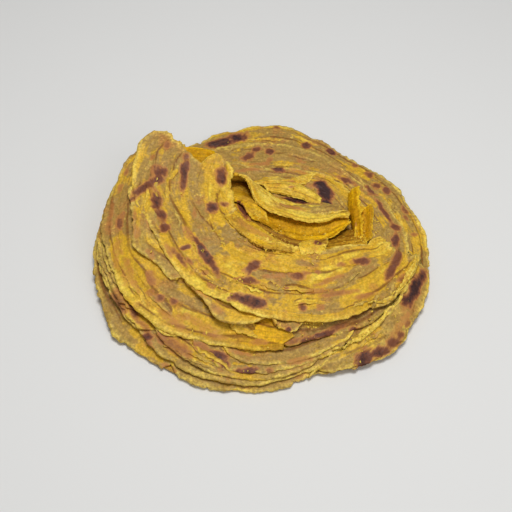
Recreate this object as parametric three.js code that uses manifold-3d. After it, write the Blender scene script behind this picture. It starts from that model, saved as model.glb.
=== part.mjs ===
// Lachha naan: one round of flaky bread, coiled from a pleated rope of dough and then lifted open,
// so that its upper turns stand in a horseshoe round the coil's eye while its back lies flat.
// Millimetres, +Z up. The origin is the middle of the round, on the face that it lies on.
import * as THREE from 'three';
import Module from 'manifold-3d';

const ROUND_RADIUS = 101;              // mean radius of the round
const EYE = new THREE.Vector2(12, 8);  // where the innermost turn is centred
const BEARINGS = 120;                  // directions in which a profile of the round is taken
const UNDERSIDE_INSET = 0.02;          // how far the flat underside stops short of the rim, as a reach
const UNDERCUT = 0.014;                // how far each leaf overhangs the one below, as a reach
const LEAF_THICKNESS = 2.6;            // thickness of one rolled leaf of dough
const LIP_ROUNDING = 0.009;            // how far a leaf's upper corner is set back, as a reach
const EYE_FLOOR = 12;                  // height of the crumb at the bottom of the eye
const EYE_WALL = 0.06;                 // width of the slope from the eye's rim to its floor, as a reach
const TORN_WAVE = 0.006;               // unevenness of the torn edges, as a reach
const SMALLEST_DETAIL = 0.02;          // slivers narrower than this are closed up when leaves are joined

// Each edge of the coil, as rows of a bearing in degrees (counter-clockwise from +X, seen from
// above), a reach (0 at the eye, 1 at the mean radius) and a height in millimetres.
// The upper turns run from the crest at 140 degrees round the left and the front to 355 degrees.
const BOTTOM_RIM = [
  [3, 1.03, 5], [34, 1.0, 5], [51, 0.94, 5], [66, 0.98, 5], [86, 1.04, 5], [112, 0.96, 5], [140, 0.945, 7],
  [165, 0.975, 8], [190, 1.0, 8], [216, 1.03, 4.5], [240, 0.99, 3.5], [264, 0.985, 3.2], [290, 0.93, 3.5],
  [302, 0.985, 4], [318, 1.03, 4.5], [342, 1.04, 5],
];
const OUTER_TURN = [
  [10, 0.86, 9.5], [49, 0.8, 10], [100, 0.81, 10], [136, 0.84, 10], [142, 0.93, 15], [190, 0.975, 14],
  [216, 0.95, 10.5], [240, 0.95, 7.5], [262, 0.945, 5.8], [285, 0.89, 5.8], [318, 0.865, 7], [340, 0.9, 9],
];
const MIDDLE_TURN = [
  [8, 0.62, 12], [50, 0.56, 12.5], [100, 0.6, 12], [136, 0.64, 12], [142, 0.925, 33], [152, 0.945, 33], [165, 0.94, 28],
  [182, 0.95, 24], [202, 0.92, 20], [232, 0.86, 15], [252, 0.8, 13], [290, 0.79, 12], [325, 0.85, 11], [352, 0.93, 12.5],
];
const TOP_TURN = [
  [6, 0.44, 13], [60, 0.46, 13.5], [105, 0.4, 13], [136, 0.45, 13], [141, 0.9, 45], [150, 0.88, 41],
  [166, 0.83, 36], [196, 0.79, 31], [214, 0.67, 28], [248, 0.7, 22.5], [270, 0.67, 21.5], [290, 0.72, 18],
  [318, 0.81, 14], [344, 0.92, 13.5], [354, 0.96, 14.5],
];
const EYE_RIM = [
  [4, 0.3, 14], [60, 0.3, 14], [136, 0.32, 13.5], [142, 0.31, 30], [180, 0.24, 29], [200, 0.26, 31],
  [247, 0.25, 32], [282, 0.27, 32], [312, 0.32, 30], [330, 0.38, 28], [340, 0.5, 25], [354, 0.71, 19.5],
];
const SWELL_OF_UPPER_TURNS = 2.5;      // how far the raised turns bulge between the eye and their edge
const SWELL_OF_FLAT_BACK = 0.4;

// Reach and height of an edge at a bearing, on a smooth closed curve through its rows.
function edgeAt(edge, bearing) {
  const count = edge.length;
  let next = edge.findIndex((row) => row[0] > bearing);
  if (next < 0) next = count;
  const row = (i) => {
    const turn = Math.floor(i / count);
    const [angle, reach, height] = edge[i - turn * count];
    return [angle + 360 * turn, reach, height];
  };
  const [before, from, to, after] = [row(next - 2), row(next - 1), row(next), row(next + 1)];
  const span = to[0] - from[0];
  const t = (bearing - from[0]) / span;
  return [1, 2].map((column) => {
    const rise = (to[column] - from[column]) / span;
    const slopeIn = gentler((from[column] - before[column]) / (from[0] - before[0]), rise);
    const slopeOut = gentler(rise, (after[column] - to[column]) / (after[0] - to[0]));
    return hermite(from[column], to[column], slopeIn * span, slopeOut * span, t);
  });
}

// The harmonic mean of two slopes, or level where the curve turns, so that it never overshoots.
function gentler(a, b) {
  return a * b > 0 ? (2 * a * b) / (a + b) : 0;
}

function hermite(a, b, slopeA, slopeB, t) {
  const s = 1 - t;
  return a * (1 + 2 * t) * s * s + slopeA * t * s * s + b * t * t * (3 - 2 * t) - slopeB * t * t * s;
}

// The turns drift towards the eye, so a point's centre moves from the origin to the eye as reach falls.
function place(bearing, reach, height) {
  const angle = THREE.MathUtils.degToRad(bearing);
  const x = EYE.x * (1 - reach) + ROUND_RADIUS * reach * Math.cos(angle);
  const y = EYE.y * (1 - reach) + ROUND_RADIUS * reach * Math.sin(angle);
  return new THREE.Vector3(x, y, height);
}

function tornWave(bearing, turn) {
  const angle = THREE.MathUtils.degToRad(bearing);
  return TORN_WAVE * (Math.sin(9 * angle + 2.1 * turn) + 0.7 * Math.sin(17 * angle + 4.3 * turn));
}

// The profile of the round at one bearing: up from the underside, over each leaf's edge, into the eye.
function profileAt(bearing) {
  const edges = [BOTTOM_RIM, OUTER_TURN, MIDDLE_TURN, TOP_TURN].map((edge, turn) => {
    const [reach, height] = edgeAt(edge, bearing);
    return { reach: reach + tornWave(bearing, turn), height };
  });
  const rim = edges[0];
  const points = [
    [rim.reach - UNDERSIDE_INSET, 0],
    [rim.reach, 0.45 * rim.height],
    [rim.reach - LIP_ROUNDING, rim.height],
  ];
  for (let i = 1; i < edges.length; i += 1) {
    const leaf = edges[i];
    const step = Math.min(LEAF_THICKNESS, 0.6 * (leaf.height - edges[i - 1].height));
    points.push([leaf.reach - UNDERCUT, leaf.height - step - 0.1]);
    points.push([leaf.reach, leaf.height - 0.8 * step]);
    points.push([leaf.reach - LIP_ROUNDING, leaf.height]);
  }
  const [eyeReach, eyeHeight] = edgeAt(EYE_RIM, bearing);
  const top = edges[3];
  const raised = THREE.MathUtils.smoothstep(eyeHeight, EYE_FLOOR + 2, EYE_FLOOR + 10);
  const swell = THREE.MathUtils.lerp(SWELL_OF_FLAT_BACK, SWELL_OF_UPPER_TURNS, raised);
  for (const along of [0.25, 0.5, 0.75]) {
    const height = THREE.MathUtils.lerp(top.height, eyeHeight, along) + swell * Math.sin(Math.PI * along);
    points.push([THREE.MathUtils.lerp(top.reach, eyeReach, along), height]);
  }
  points.push([eyeReach, eyeHeight]);
  points.push([eyeReach - 0.3 * EYE_WALL, eyeHeight - 1.5]);
  points.push([eyeReach - EYE_WALL, EYE_FLOOR + 1]);
  points.push([0.5 * (eyeReach - EYE_WALL), EYE_FLOOR]);
  return points.map(([reach, height]) => place(bearing, reach, height));
}

// The whole round as one closed skin: profiles side by side, with a pole under and over the eye.
function roundOfBread() {
  const profiles = [];
  for (let i = 0; i < BEARINGS; i += 1) {
    profiles.push(profileAt((360 * i) / BEARINGS));
  }
  const rows = profiles[0].length;
  const vertices = profiles.flat();
  const under = vertices.push(place(0, 0, 0)) - 1;
  const over = vertices.push(place(0, 0, EYE_FLOOR)) - 1;
  const triangles = [];
  for (let i = 0; i < BEARINGS; i += 1) {
    const here = i * rows;
    const next = ((i + 1) % BEARINGS) * rows;
    triangles.push([under, next, here]);
    for (let j = 0; j + 1 < rows; j += 1) {
      triangles.push([here + j, next + j, next + j + 1], [here + j, next + j + 1, here + j + 1]);
    }
    triangles.push([over, here + rows - 1, next + rows - 1]);
  }
  return { vertices, triangles };
}

// A loose leaf in the eye: its free lip stands proud and its root goes down into the crumb.
// Lip and root are each a few points that a smooth curve joins.
function looseLeaf({ lip, root, thickness, arch, steps = 12 }) {
  const lipCurve = new THREE.CatmullRomCurve3(lip.map((p) => new THREE.Vector3(...p)));
  const rootCurve = new THREE.CatmullRomCurve3(root.map((p) => new THREE.Vector3(...p)));
  const vertices = [];
  const triangles = [];
  for (let i = 0; i <= steps; i += 1) {
    const edge = lipCurve.getPoint(i / steps);
    const foot = rootCurve.getPoint(i / steps);
    const back = edge.clone().lerp(foot, 0.5).setZ(edge.z * 0.55 + foot.z * 0.45 + arch);
    const underFoot = foot.clone().setZ(EYE_FLOOR - 4);
    const underEdge = edge.clone().lerp(foot, 0.35).setZ(EYE_FLOOR - 4);
    const underLip = edge.clone().setZ(edge.z - thickness);
    vertices.push(edge, back, foot, underFoot, underEdge, underLip);
  }
  const sides = 6;
  for (let i = 0; i < steps; i += 1) {
    for (let j = 0; j < sides; j += 1) {
      const a = i * sides + j;
      const b = i * sides + ((j + 1) % sides);
      triangles.push([a, b, b + sides], [a, b + sides, a + sides]);
    }
  }
  const last = steps * sides;
  for (let j = 1; j + 1 < sides; j += 1) {
    triangles.push([0, j + 1, j], [last, last + j, last + j + 1]);
  }
  return { vertices, triangles };
}

const EYE_LEAVES = [
  { // the long leaf that sweeps out of the crest and across the eye
    lip: [[-20, 38, 25], [-7, 30, 24], [4, 21, 23], [20, 16, 22], [36, 15, 21], [54, 17, 18]],
    root: [[-18, 50, 12], [-4, 47, 12], [12, 42, 12], [28, 38, 12], [42, 34, 12], [57, 27, 12]],
    thickness: 3, arch: 3,
  },
  { // the lower leaf in its shade
    lip: [[-10, 15, 20], [1, 10, 18.5], [14, 3, 17.5], [26, -2, 17.5], [38, 0, 17.5], [51, 7, 16.5]],
    root: [[-8, 26, 11], [6, 20, 11], [18, 13, 11], [28, 10, 11], [40, 11, 11], [52, 14, 11]],
    thickness: 2.5, arch: 1.5,
  },
  { // the torn leaf that curls over the front of the eye
    lip: [[-17, 9, 29], [-9, -1, 28.5], [0, -7, 28.5], [12, -11, 28.5], [24, -12, 28], [38, -10, 26]],
    root: [[-26, 4, 28], [-16, -12, 29], [-3, -21, 29], [14, -26, 29], [30, -24, 27], [45, -19, 24]],
    thickness: 3, arch: 2,
  },
  { // the upright leaf at the right of the eye
    lip: [[54, 34, 23], [59, 26, 23], [63, 16, 21.5], [64, 3, 18]],
    root: [[61, 38, 11], [66, 28, 11], [69, 16, 11], [69, 4, 11]],
    thickness: 4, arch: 1,
  },
  { // the thin leaf that lies on the flat back
    lip: [[1, 40, 16], [14, 41, 16.5], [28, 39, 16.5], [40, 33, 15.5]],
    root: [[0, 52, 11], [16, 56, 11], [34, 54, 11], [48, 44, 11]],
    thickness: 2, arch: 1,
  },
];

const wasm = await Module();
wasm.setup();

function solidFrom({ vertices, triangles }) {
  const vertProperties = new Float32Array(vertices.flatMap((v) => v.toArray()));
  const made = (faces) => {
    const triVerts = new Uint32Array(faces.flat());
    return new wasm.Manifold(new wasm.Mesh({ numProp: 3, vertProperties, triVerts }));
  };
  const solid = made(triangles);
  return solid.volume() > 0 ? solid : made(triangles.map(([a, b, c]) => [a, c, b]));
}

function geometryOf(solid) {
  const mesh = solid.getMesh();
  const geometry = new THREE.BufferGeometry();
  geometry.setAttribute('position', new THREE.BufferAttribute(mesh.vertProperties, 3));
  geometry.setIndex(new THREE.BufferAttribute(mesh.triVerts, 1));
  geometry.computeVertexNormals();
  return geometry;
}

let bread = solidFrom(roundOfBread());
for (const leaf of EYE_LEAVES) {
  bread = bread.add(solidFrom(looseLeaf(leaf)));
}
bread = bread.simplify(SMALLEST_DETAIL);

const crust = new THREE.MeshStandardMaterial({ color: 0xc59a3c, roughness: 0.62, metalness: 0 });
const naan = new THREE.Mesh(geometryOf(bread), crust);
naan.name = 'naan';

const group = new THREE.Group();
group.add(naan);

export default group;
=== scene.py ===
"""A lachha naan: a round of flaky bread, coiled from a pleated rope of dough and lifted open, so that
its upper leaves stand in a horseshoe round the coil's eye while its back lies flat."""
import math

import bpy
import numpy as np
from mathutils import Matrix, Vector
from mathutils.bvhtree import BVHTree


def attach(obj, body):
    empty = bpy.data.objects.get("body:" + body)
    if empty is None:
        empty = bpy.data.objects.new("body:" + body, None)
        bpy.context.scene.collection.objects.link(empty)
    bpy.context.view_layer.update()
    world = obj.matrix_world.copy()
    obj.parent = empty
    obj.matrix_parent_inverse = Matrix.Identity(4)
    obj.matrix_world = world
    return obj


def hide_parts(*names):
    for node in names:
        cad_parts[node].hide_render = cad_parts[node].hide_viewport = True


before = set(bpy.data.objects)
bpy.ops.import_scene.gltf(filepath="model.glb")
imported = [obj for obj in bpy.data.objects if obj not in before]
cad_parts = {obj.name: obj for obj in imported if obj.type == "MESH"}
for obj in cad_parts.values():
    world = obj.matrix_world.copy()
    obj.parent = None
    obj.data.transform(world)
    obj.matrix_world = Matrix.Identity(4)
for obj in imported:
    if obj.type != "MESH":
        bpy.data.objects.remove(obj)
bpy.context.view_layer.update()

BREAD = "naan"
MM = 0.001
MM_IN_CM = 0.1

# ----------
# The bread's own measure. A place is a bearing in degrees, counter-clockwise from +X seen from
# above, a reach (0 at the eye, 1 at the mean radius) and a height in millimetres.
# ----------
ROUND_RADIUS = 101.0
EYE = (12.0, 8.0)

# Edges of the coil, as rows of bearing, reach and height.
BOTTOM_RIM = [
    (3, 1.03, 5), (34, 1.0, 5), (51, 0.94, 5), (66, 0.98, 5), (86, 1.04, 5), (112, 0.96, 5),
    (140, 0.945, 7), (165, 0.975, 8), (190, 1.0, 8), (212, 1.012, 5), (219, 1.035, 4), (225, 1.007, 3.5),
    (240, 0.99, 3.5), (258, 0.985, 3.2), (268, 0.97, 3.2), (277, 0.952, 3.2), (290, 0.922, 3.5),
    (298, 0.952, 4), (318, 1.03, 4.5), (342, 1.04, 5),
]
OUTER_TURN = [
    (8, 0.875, 10), (15, 0.845, 10), (24, 0.845, 10), (33, 0.775, 10), (46, 0.765, 10.5), (60, 0.79, 10.5),
    (100, 0.81, 10), (136, 0.84, 10), (142, 0.93, 15), (190, 0.975, 14), (206, 0.955, 12),
    (222, 0.945, 9.5), (238, 0.952, 7), (258, 0.954, 5.4), (270, 0.95, 5.2), (278, 0.92, 5.4),
    (290, 0.895, 5.8), (318, 0.865, 7), (340, 0.89, 9), (356, 0.889, 10),
]
FIRST_FOLD = [
    (222, 0.87, 14.5), (229, 0.886, 12), (239, 0.902, 10), (245, 0.913, 9), (252, 0.924, 8),
    (262, 0.925, 7.4), (270, 0.922, 7), (278, 0.906, 6.8), (290, 0.88, 6.8),
]
SECOND_FOLD = [
    (238, 0.82, 13), (245, 0.859, 11), (252, 0.876, 10), (258, 0.892, 8.8), (266, 0.895, 8.2),
    (280, 0.875, 8), (296, 0.86, 7.8),
]
THIRD_FOLD = [(250, 0.785, 12.4), (254, 0.8, 12), (263, 0.839, 10.4), (272, 0.85, 9.6), (300, 0.83, 9)]
MIDDLE_TURN = [
    (8, 0.62, 12), (50, 0.56, 12.5), (100, 0.6, 12), (136, 0.64, 12), (142, 0.925, 33), (152, 0.945, 33),
    (165, 0.94, 28), (182, 0.95, 24), (202, 0.91, 20), (212, 0.9, 17.6), (222, 0.88, 16.3),
    (230, 0.868, 14.8), (240, 0.826, 13.4), (248, 0.803, 13), (263, 0.778, 13), (278, 0.786, 12.2),
    (291, 0.78, 11.8), (305, 0.81, 10.4), (320, 0.868, 9), (330, 0.888, 9.4), (352, 0.93, 12.5),
]
SHOULDER = [
    (141, 0.86, 40), (152, 0.85, 37), (161, 0.832, 35.6), (168, 0.822, 35.4), (176, 0.79, 34.5),
    (187, 0.771, 33), (192, 0.776, 31.4), (196, 0.778, 30.8), (199, 0.763, 30.4), (204, 0.724, 29.6),
    (208.7, 0.694, 28.6), (212, 0.69, 28), (217, 0.684, 27.2), (221, 0.676, 26.6), (226, 0.645, 26),
    (330, 0.8, 20),
]
TOP_TURN = [
    (6, 0.44, 13), (60, 0.46, 13.5), (105, 0.4, 13), (128, 0.45, 37), (137, 0.88, 45.2), (147, 0.898, 43.4),
    (153, 0.868, 40.4), (161, 0.84, 38.2), (167, 0.812, 36.8), (172, 0.78, 35.4), (177, 0.744, 34.4),
    (182, 0.711, 34), (188, 0.683, 33.8), (198, 0.662, 33), (212, 0.641, 30.6), (220, 0.631, 29.2),
    (234, 0.632, 27.6), (248, 0.618, 27), (261, 0.642, 25.6), (275, 0.656, 23.5), (289, 0.683, 20.6),
    (301, 0.719, 18.6), (310, 0.76, 16.6), (320, 0.794, 15.6), (329, 0.865, 13.6), (344, 0.92, 13.2),
    (356, 0.96, 14.5),
]
FLAP_EDGE = [
    (216, 0.6, 28.6), (224, 0.632, 27.4), (236, 0.642, 26), (242, 0.664, 25), (247, 0.696, 23.6),
    (251, 0.703, 22.8), (258, 0.692, 22.6), (266, 0.665, 23.4), (274, 0.645, 23),
]
SPOTTED_EDGE = [(269, 0.69, 21), (277, 0.716, 19.4), (284, 0.724, 18.6), (290, 0.71, 18.6)]
RIGHT_LIP = [
    (296, 0.845, 7.4), (303, 0.855, 9.2), (307, 0.85, 9.8), (311, 0.862, 10), (315, 0.857, 10.4),
    (321, 0.868, 11), (326, 0.872, 11.4), (331, 0.887, 11.6), (338, 0.893, 11.4), (350, 0.905, 11),
]
EYE_RIM = [
    (4, 0.3, 14), (60, 0.3, 14), (118, 0.42, 32), (127, 0.41, 34), (134, 0.362, 32.5), (145, 0.304, 31),
    (158, 0.262, 30), (180, 0.222, 29.4), (200, 0.205, 30), (247, 0.205, 30.8), (282, 0.225, 30.8),
    (299, 0.28, 30.2), (312, 0.345, 29.6), (325, 0.395, 28.6), (333, 0.437, 27.4), (339, 0.485, 26.8),
    (342, 0.53, 26.2), (345, 0.592, 25.6), (350, 0.638, 25.8), (353, 0.69, 25),
]
INNER_RING = [
    (0, 0.7, 12.3), (14, 0.675, 12.6), (28, 0.64, 12.6), (48, 0.64, 12.6), (58, 0.615, 12.6),
    (70, 0.584, 12.8), (90, 0.538, 12.8), (103, 0.567, 12.6), (112, 0.64, 12.2), (150, 0.66, 12),
]
# Heights in millimetres: the floor of the eye, and the highest and the lowest that dough is laid.
EYE_FLOOR = 12.0
TALLEST = 45.9
LOWEST = 0.2


def smooth_rows(rows, bearing):
    """Reach and height of an edge at each bearing, on a closed curve that never overshoots its rows."""
    rows = np.array(rows, float)
    angle = np.concatenate([rows[:, 0] - 360, rows[:, 0], rows[:, 0] + 360])
    turned = (np.asarray(bearing, float) - rows[0, 0]) % 360 + rows[0, 0]
    at = np.searchsorted(angle, turned, side="right") - 1
    share = (turned - angle[at]) / (angle[at + 1] - angle[at])
    found = []
    for column in (1, 2):
        value = np.tile(rows[:, column], 3)
        slope = np.diff(value) / np.diff(angle)
        before, after = slope[:-1], slope[1:]
        total = np.where(before * after > 0, before + after, 1)
        middle = np.where(before * after > 0, 2 * before * after / total, 0)
        tangent = np.concatenate([[0], middle, [0]])
        span = angle[at + 1] - angle[at]
        back = 1 - share
        found.append(value[at] * (1 + 2 * share) * back ** 2 + tangent[at] * span * share * back ** 2
                     + value[at + 1] * share ** 2 * (3 - 2 * share)
                     - tangent[at + 1] * span * share ** 2 * back)
    return found[0], found[1]


def edge(rows, reach=0.0, height=0.0):
    """An edge of the coil, moved out by a reach and up by a height."""
    def at(bearing):
        far, high = smooth_rows(rows, bearing)
        return far + reach, high + height
    return at


def between(low, high, share):
    """The edge that lies a share of the way from one edge to another."""
    def at(bearing):
        a, b = low(bearing), high(bearing)
        return a[0] + (b[0] - a[0]) * share, a[1] + (b[1] - a[1]) * share
    return at


def place(bearing, reach, height):
    """Coordinates in millimetres. A turn's centre drifts from the origin to the eye as its reach falls."""
    angle = np.radians(bearing)
    x = EYE[0] * (1 - reach) + ROUND_RADIUS * reach * np.cos(angle)
    y = EYE[1] * (1 - reach) + ROUND_RADIUS * reach * np.sin(angle)
    return np.stack([x, y, height + 0 * x], axis=-1)


# ----------
# Unevenness
# ----------
# Random values that waver blends between, this many one way and the other before they repeat.
LATTICE = (97, 89)


def waver(x, y, seed):
    """Smooth unevenness between -1 and 1, with bumps one unit apart."""
    lattice = np.random.default_rng(seed).uniform(-1, 1, LATTICE)
    i, j = np.floor(x).astype(int), np.floor(y).astype(int)
    s, t = x - i, y - j
    s, t = s * s * (3 - 2 * s), t * t * (3 - 2 * t)
    left, right = i % LATTICE[0], (i + 1) % LATTICE[0]
    front, back = j % LATTICE[1], (j + 1) % LATTICE[1]
    low = lattice[left, front] * (1 - s) + lattice[right, front] * s
    high = lattice[left, back] * (1 - s) + lattice[right, back] * s
    return low * (1 - t) + high * t


def rough(x, y, seed, octaves=3):
    """Unevenness at several sizes, each half as large as the last."""
    total = 0.0
    for octave in range(octaves):
        total = total + waver(x * 2 ** octave, y * 2 ** octave, seed + octave) / 2 ** octave
    return total / 1.6


def ramp(low, high, value):
    """A smooth rise from 0 to 1 between two values, or a fall where low lies above high."""
    share = np.clip((value - low) / (high - low), 0, 1)
    return share * share * (3 - 2 * share)


# ----------
# Mesh work
# ----------
# Vertex weights are kept in this many steps.
WEIGHT_STEPS = 20


def only(*pieces):
    """Makes pieces the only ones that the next operator works on."""
    bpy.ops.object.select_all(action="DESELECT")
    for piece in pieces:
        piece.select_set(True)
    bpy.context.view_layer.objects.active = pieces[0]


def rolled_sheet(name, along, across):
    """A flat sheet of dough as a grid, with each vertex's share along it and across it. Both come in
    rows, from the outer edge of the sheet to the inner one."""
    bpy.ops.mesh.primitive_grid_add(x_subdivisions=along, y_subdivisions=across, size=1)
    piece = bpy.context.object
    piece.name = name
    piece.data.name = name
    flat = np.empty(len(piece.data.vertices) * 3)
    piece.data.vertices.foreach_get("co", flat)
    flat = flat.reshape(-1, 3)
    columns = int(np.sum(np.abs(flat[:, 1] - flat[0, 1]) < 1e-5))
    return piece, flat[:, 0].reshape(-1, columns) + 0.5, 0.5 - flat[:, 1].reshape(-1, columns)


def lay(piece, points):
    """Lays a sheet's vertices at their places, given in millimetres."""
    points = points.reshape(-1, 3) * MM
    points[:, 2] = np.clip(points[:, 2], LOWEST * MM, TALLEST * MM)
    piece.data.vertices.foreach_set("co", points.astype(np.float32).ravel())
    piece.data.update()


def note(piece, name, values):
    """Keeps a value for each vertex, which the material reads."""
    kept = piece.data.attributes.new(name, "FLOAT", "POINT")
    kept.data.foreach_set("value", np.asarray(values, np.float32).ravel())


def note_plain(piece, **values):
    """Keeps one value for all the vertices under each name."""
    for name, value in values.items():
        note(piece, name, np.full(len(piece.data.vertices), value))


def map_grain(piece, along, across):
    """The grain of the dough as a UV map, in centimetres along the leaf and across it."""
    corner = np.empty(len(piece.data.loops), int)
    piece.data.loops.foreach_get("vertex_index", corner)
    grain = np.stack([along.ravel()[corner], across.ravel()[corner]], axis=-1) * MM_IN_CM
    piece.data.uv_layers.active.data.foreach_set("uv", grain.astype(np.float32).ravel())


def weigh(piece, name, weights):
    """A vertex group, its weights kept in even steps."""
    group = piece.vertex_groups.new(name=name)
    steps = np.round(np.clip(weights.ravel(), 0, 1) * WEIGHT_STEPS).astype(int)
    for step in np.unique(steps):
        group.add(np.flatnonzero(steps == step).tolist(), step / WEIGHT_STEPS, "REPLACE")


def apply_all(piece):
    """Applies a piece's modifiers in their order."""
    only(piece)
    for modifier in list(piece.modifiers):
        bpy.ops.object.modifier_apply(modifier=modifier.name)


def crumble(piece, size, strength):
    """Roughens a surface with crumbs of a size."""
    texture = bpy.data.textures.new(piece.name + "_crumb", "CLOUDS")
    texture.noise_scale = size * MM
    texture.noise_depth = 2
    shift = piece.modifiers.new("crumb", "DISPLACE")
    shift.texture = texture
    shift.texture_coords = "LOCAL"
    shift.strength = strength * MM
    shift.mid_level = 0.5


def thicken(piece, thickness, thin_edge):
    """Gives a sheet its thickness, which thins to a share of it at the torn edges."""
    wall = piece.modifiers.new("thickness", "SOLIDIFY")
    wall.thickness = thickness * MM
    wall.offset = -1
    wall.vertex_group = "body"
    wall.thickness_vertex_group = thin_edge


def finish_piece(piece, material):
    """Smooths and colours a piece, and ties it to the bread."""
    only(piece)
    bpy.ops.object.shade_smooth()
    piece.data.materials.clear()
    piece.data.materials.append(material)
    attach(piece, "root")
    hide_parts(BREAD)


# ----------
# Scorch marks, each a bearing, a reach, a length and a width in millimetres, the lean of its
# length away from the ring in degrees, and a depth: 0 pale, 0.5 tan, 0.9 brown, 1.1 burnt.
# ----------
TOP_MARKS = [
    (157, 0.7, 8.5, 8.5, 0, 0.9), (162, 0.69, 9, 7, 30, 0.9), (168, 0.745, 16, 5.4, 38, 0.9),
    (172, 0.77, 10, 3, 30, 0.6), (174, 0.655, 16, 5, -14, 0.95), (184.3, 0.615, 10, 4.6, -14, 0.9),
    (191.5, 0.607, 5.5, 5.5, 0, 0.85), (153.8, 0.57, 24, 4.6, -24, 0.95), (140, 0.405, 11, 6.5, -48, 0.95),
    (175, 0.36, 8, 7, 18, 0.95), (168, 0.31, 6, 4, 66, 0.75), (151, 0.78, 4, 3, 0, 0.5),
    (143, 0.76, 6, 4, 15, 0.6), (208, 0.54, 6, 3, -80, 0.85), (219, 0.475, 27, 4.5, 6, 0.95),
    (212, 0.59, 15, 3, -4, 0.7), (217, 0.56, 5, 3, -4, 0.6), (254, 0.4, 10, 6, -65, 0.9),
    (255, 0.475, 11, 4, -12, 0.8), (256, 0.575, 13, 5.5, -8, 1.0), (264, 0.58, 10, 6, 0, 1.02),
    (229, 0.54, 4, 3, -40, 0.5), (290, 0.445, 9, 4, 12, 0.72), (296, 0.44, 6, 3, 10, 0.5),
    (305, 0.46, 3, 3, 20, 0.55), (289, 0.61, 4.5, 4, 13, 0.75), (323, 0.51, 5, 3, 40, 0.5),
    (334.6, 0.6, 12, 5, 56, 0.85), (343, 0.79, 24, 4.8, 10, 0.8), (311, 0.62, 22, 3, 25, 0.5),
    (322, 0.73, 15, 3, 30, 0.42), (200, 0.5, 14, 4, -10, 0.35), (300, 0.55, 18, 4, 18, 0.4),
    (298, 0.635, 5, 4, 0, 0.5), (274, 0.43, 16, 3, 0, 0.35), (237, 0.58, 6, 3, 0, 0.5),
    (309, 0.53, 20, 3, 12, 0.45), (340, 0.86, 8, 3, 20, 0.6), (183, 0.45, 7, 3, 0, 0.4),
    (205, 0.62, 12, 3, 0, 0.4), (281, 0.5, 3, 2, 0, 0.5),
]
SHOULDER_MARKS = [
    (168, 0.745, 16, 5.4, 38, 0.9), (172, 0.78, 12, 3.5, 30, 0.7), (190, 0.75, 10, 5, 0, 0.35),
    (181, 0.76, 8, 3, 0, 0.4), (203, 0.71, 9, 4, 0, 0.4),
]
FLAP_MARKS = [(230, 0.62, 22, 7, 0, 0.35), (246, 0.66, 16, 6, 0, 0.32)]
MIDDLE_MARKS = [
    (182, 0.845, 8, 4, -10, 0.75), (178, 0.83, 5, 4, 0, 0.5), (178, 0.9, 26, 4, 0, 0.3),
    (221, 0.77, 6, 5, -45, 0.7), (217, 0.79, 5, 4, -50, 0.45), (234, 0.75, 9, 4, -34, 0.35),
    (250, 0.76, 14, 4, -10, 0.3), (205, 0.83, 34, 4, 0, 0.3), (269, 0.745, 12, 3, 0, 0.4),
    (195, 0.87, 26, 5, 8, 0.3), (165, 0.89, 8, 4, 0, 0.4), (158, 0.9, 6, 3, 0, 0.5),
    (212, 0.75, 10, 5, 0, 0.5), (232, 0.8, 22, 5, 0, 0.33), (244, 0.74, 22, 6, 0, 0.28),
    (226, 0.73, 5, 4, 0, 0.7), (206, 0.86, 14, 6, 0, 0.25),
]
OUTER_MARKS = [
    (227, 0.925, 6, 4.5, -38, 0.95), (217.3, 0.895, 13, 4.5, 12, 0.75), (229, 0.95, 9, 4, -9, 0.6),
    (211, 0.94, 14, 10, 0, 0.6), (238, 0.88, 24, 6, 0, 0.55), (224, 0.9, 12, 4, 0, 0.5),
]
FRONT_MARKS = [
    (254, 0.84, 10, 5.5, 0, 0.95), (257.5, 0.87, 4, 5, 60, 0.85), (266, 0.885, 12, 5, -4, 0.95),
    (273.5, 0.88, 5, 4, 0, 0.6), (285, 0.84, 14, 4, 0, 0.4), (246, 0.83, 14, 5, 0, 0.5),
    (262, 0.8, 16, 3, 0, 0.4),
]
RIGHT_MARKS = [
    (283, 0.745, 10, 3.4, 0, 0.65), (289, 0.755, 12, 4.5, 5, 0.75), (297, 0.748, 14, 3, 6, 0.95),
    (304, 0.745, 12, 3, 8, 0.6), (310, 0.808, 5, 4, 29, 0.85), (300, 0.79, 24, 3, 8, 0.4),
]
RIM_MARKS = [
    (341.5, 0.963, 27, 6, 8, 1.08), (334.7, 0.935, 9, 6, 20, 1.0), (308, 0.965, 12, 8, 10, 1.0),
    (312.8, 0.99, 12, 5, 22, 0.95), (319.2, 1.005, 8, 5, 31, 0.85), (323, 1.01, 6, 4, 31, 0.8),
    (328, 1.01, 7, 3, 7, 0.6), (109, 0.88, 17, 8, 2, 1.05), (101, 0.905, 13, 9, -20, 1.05),
    (71, 0.87, 6, 6, -24, 0.95), (60, 0.91, 7, 6, -8, 0.95), (48, 0.9, 5, 4, -2, 0.6),
    (40, 0.91, 6, 5, -10, 0.75), (33, 0.87, 5, 6, -38, 0.8), (29, 0.91, 6, 5, -12, 0.85),
    (18, 0.95, 6, 4, -4, 0.7), (14, 0.93, 5, 3, -8, 0.65), (90, 1.01, 4, 3, -2, 0.4),
    (84, 1.02, 5, 3, 10, 0.7), (6, 0.95, 4, 3, 60, 0.5), (150, 0.93, 8, 4, 0, 0.5),
    (240, 0.97, 10, 4, 0, 0.5), (316, 0.9, 16, 6, 0, 0.2), (333, 0.93, 14, 5, 0, 0.25),
    (325, 0.98, 24, 5, 0, 0.35),
]
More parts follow.
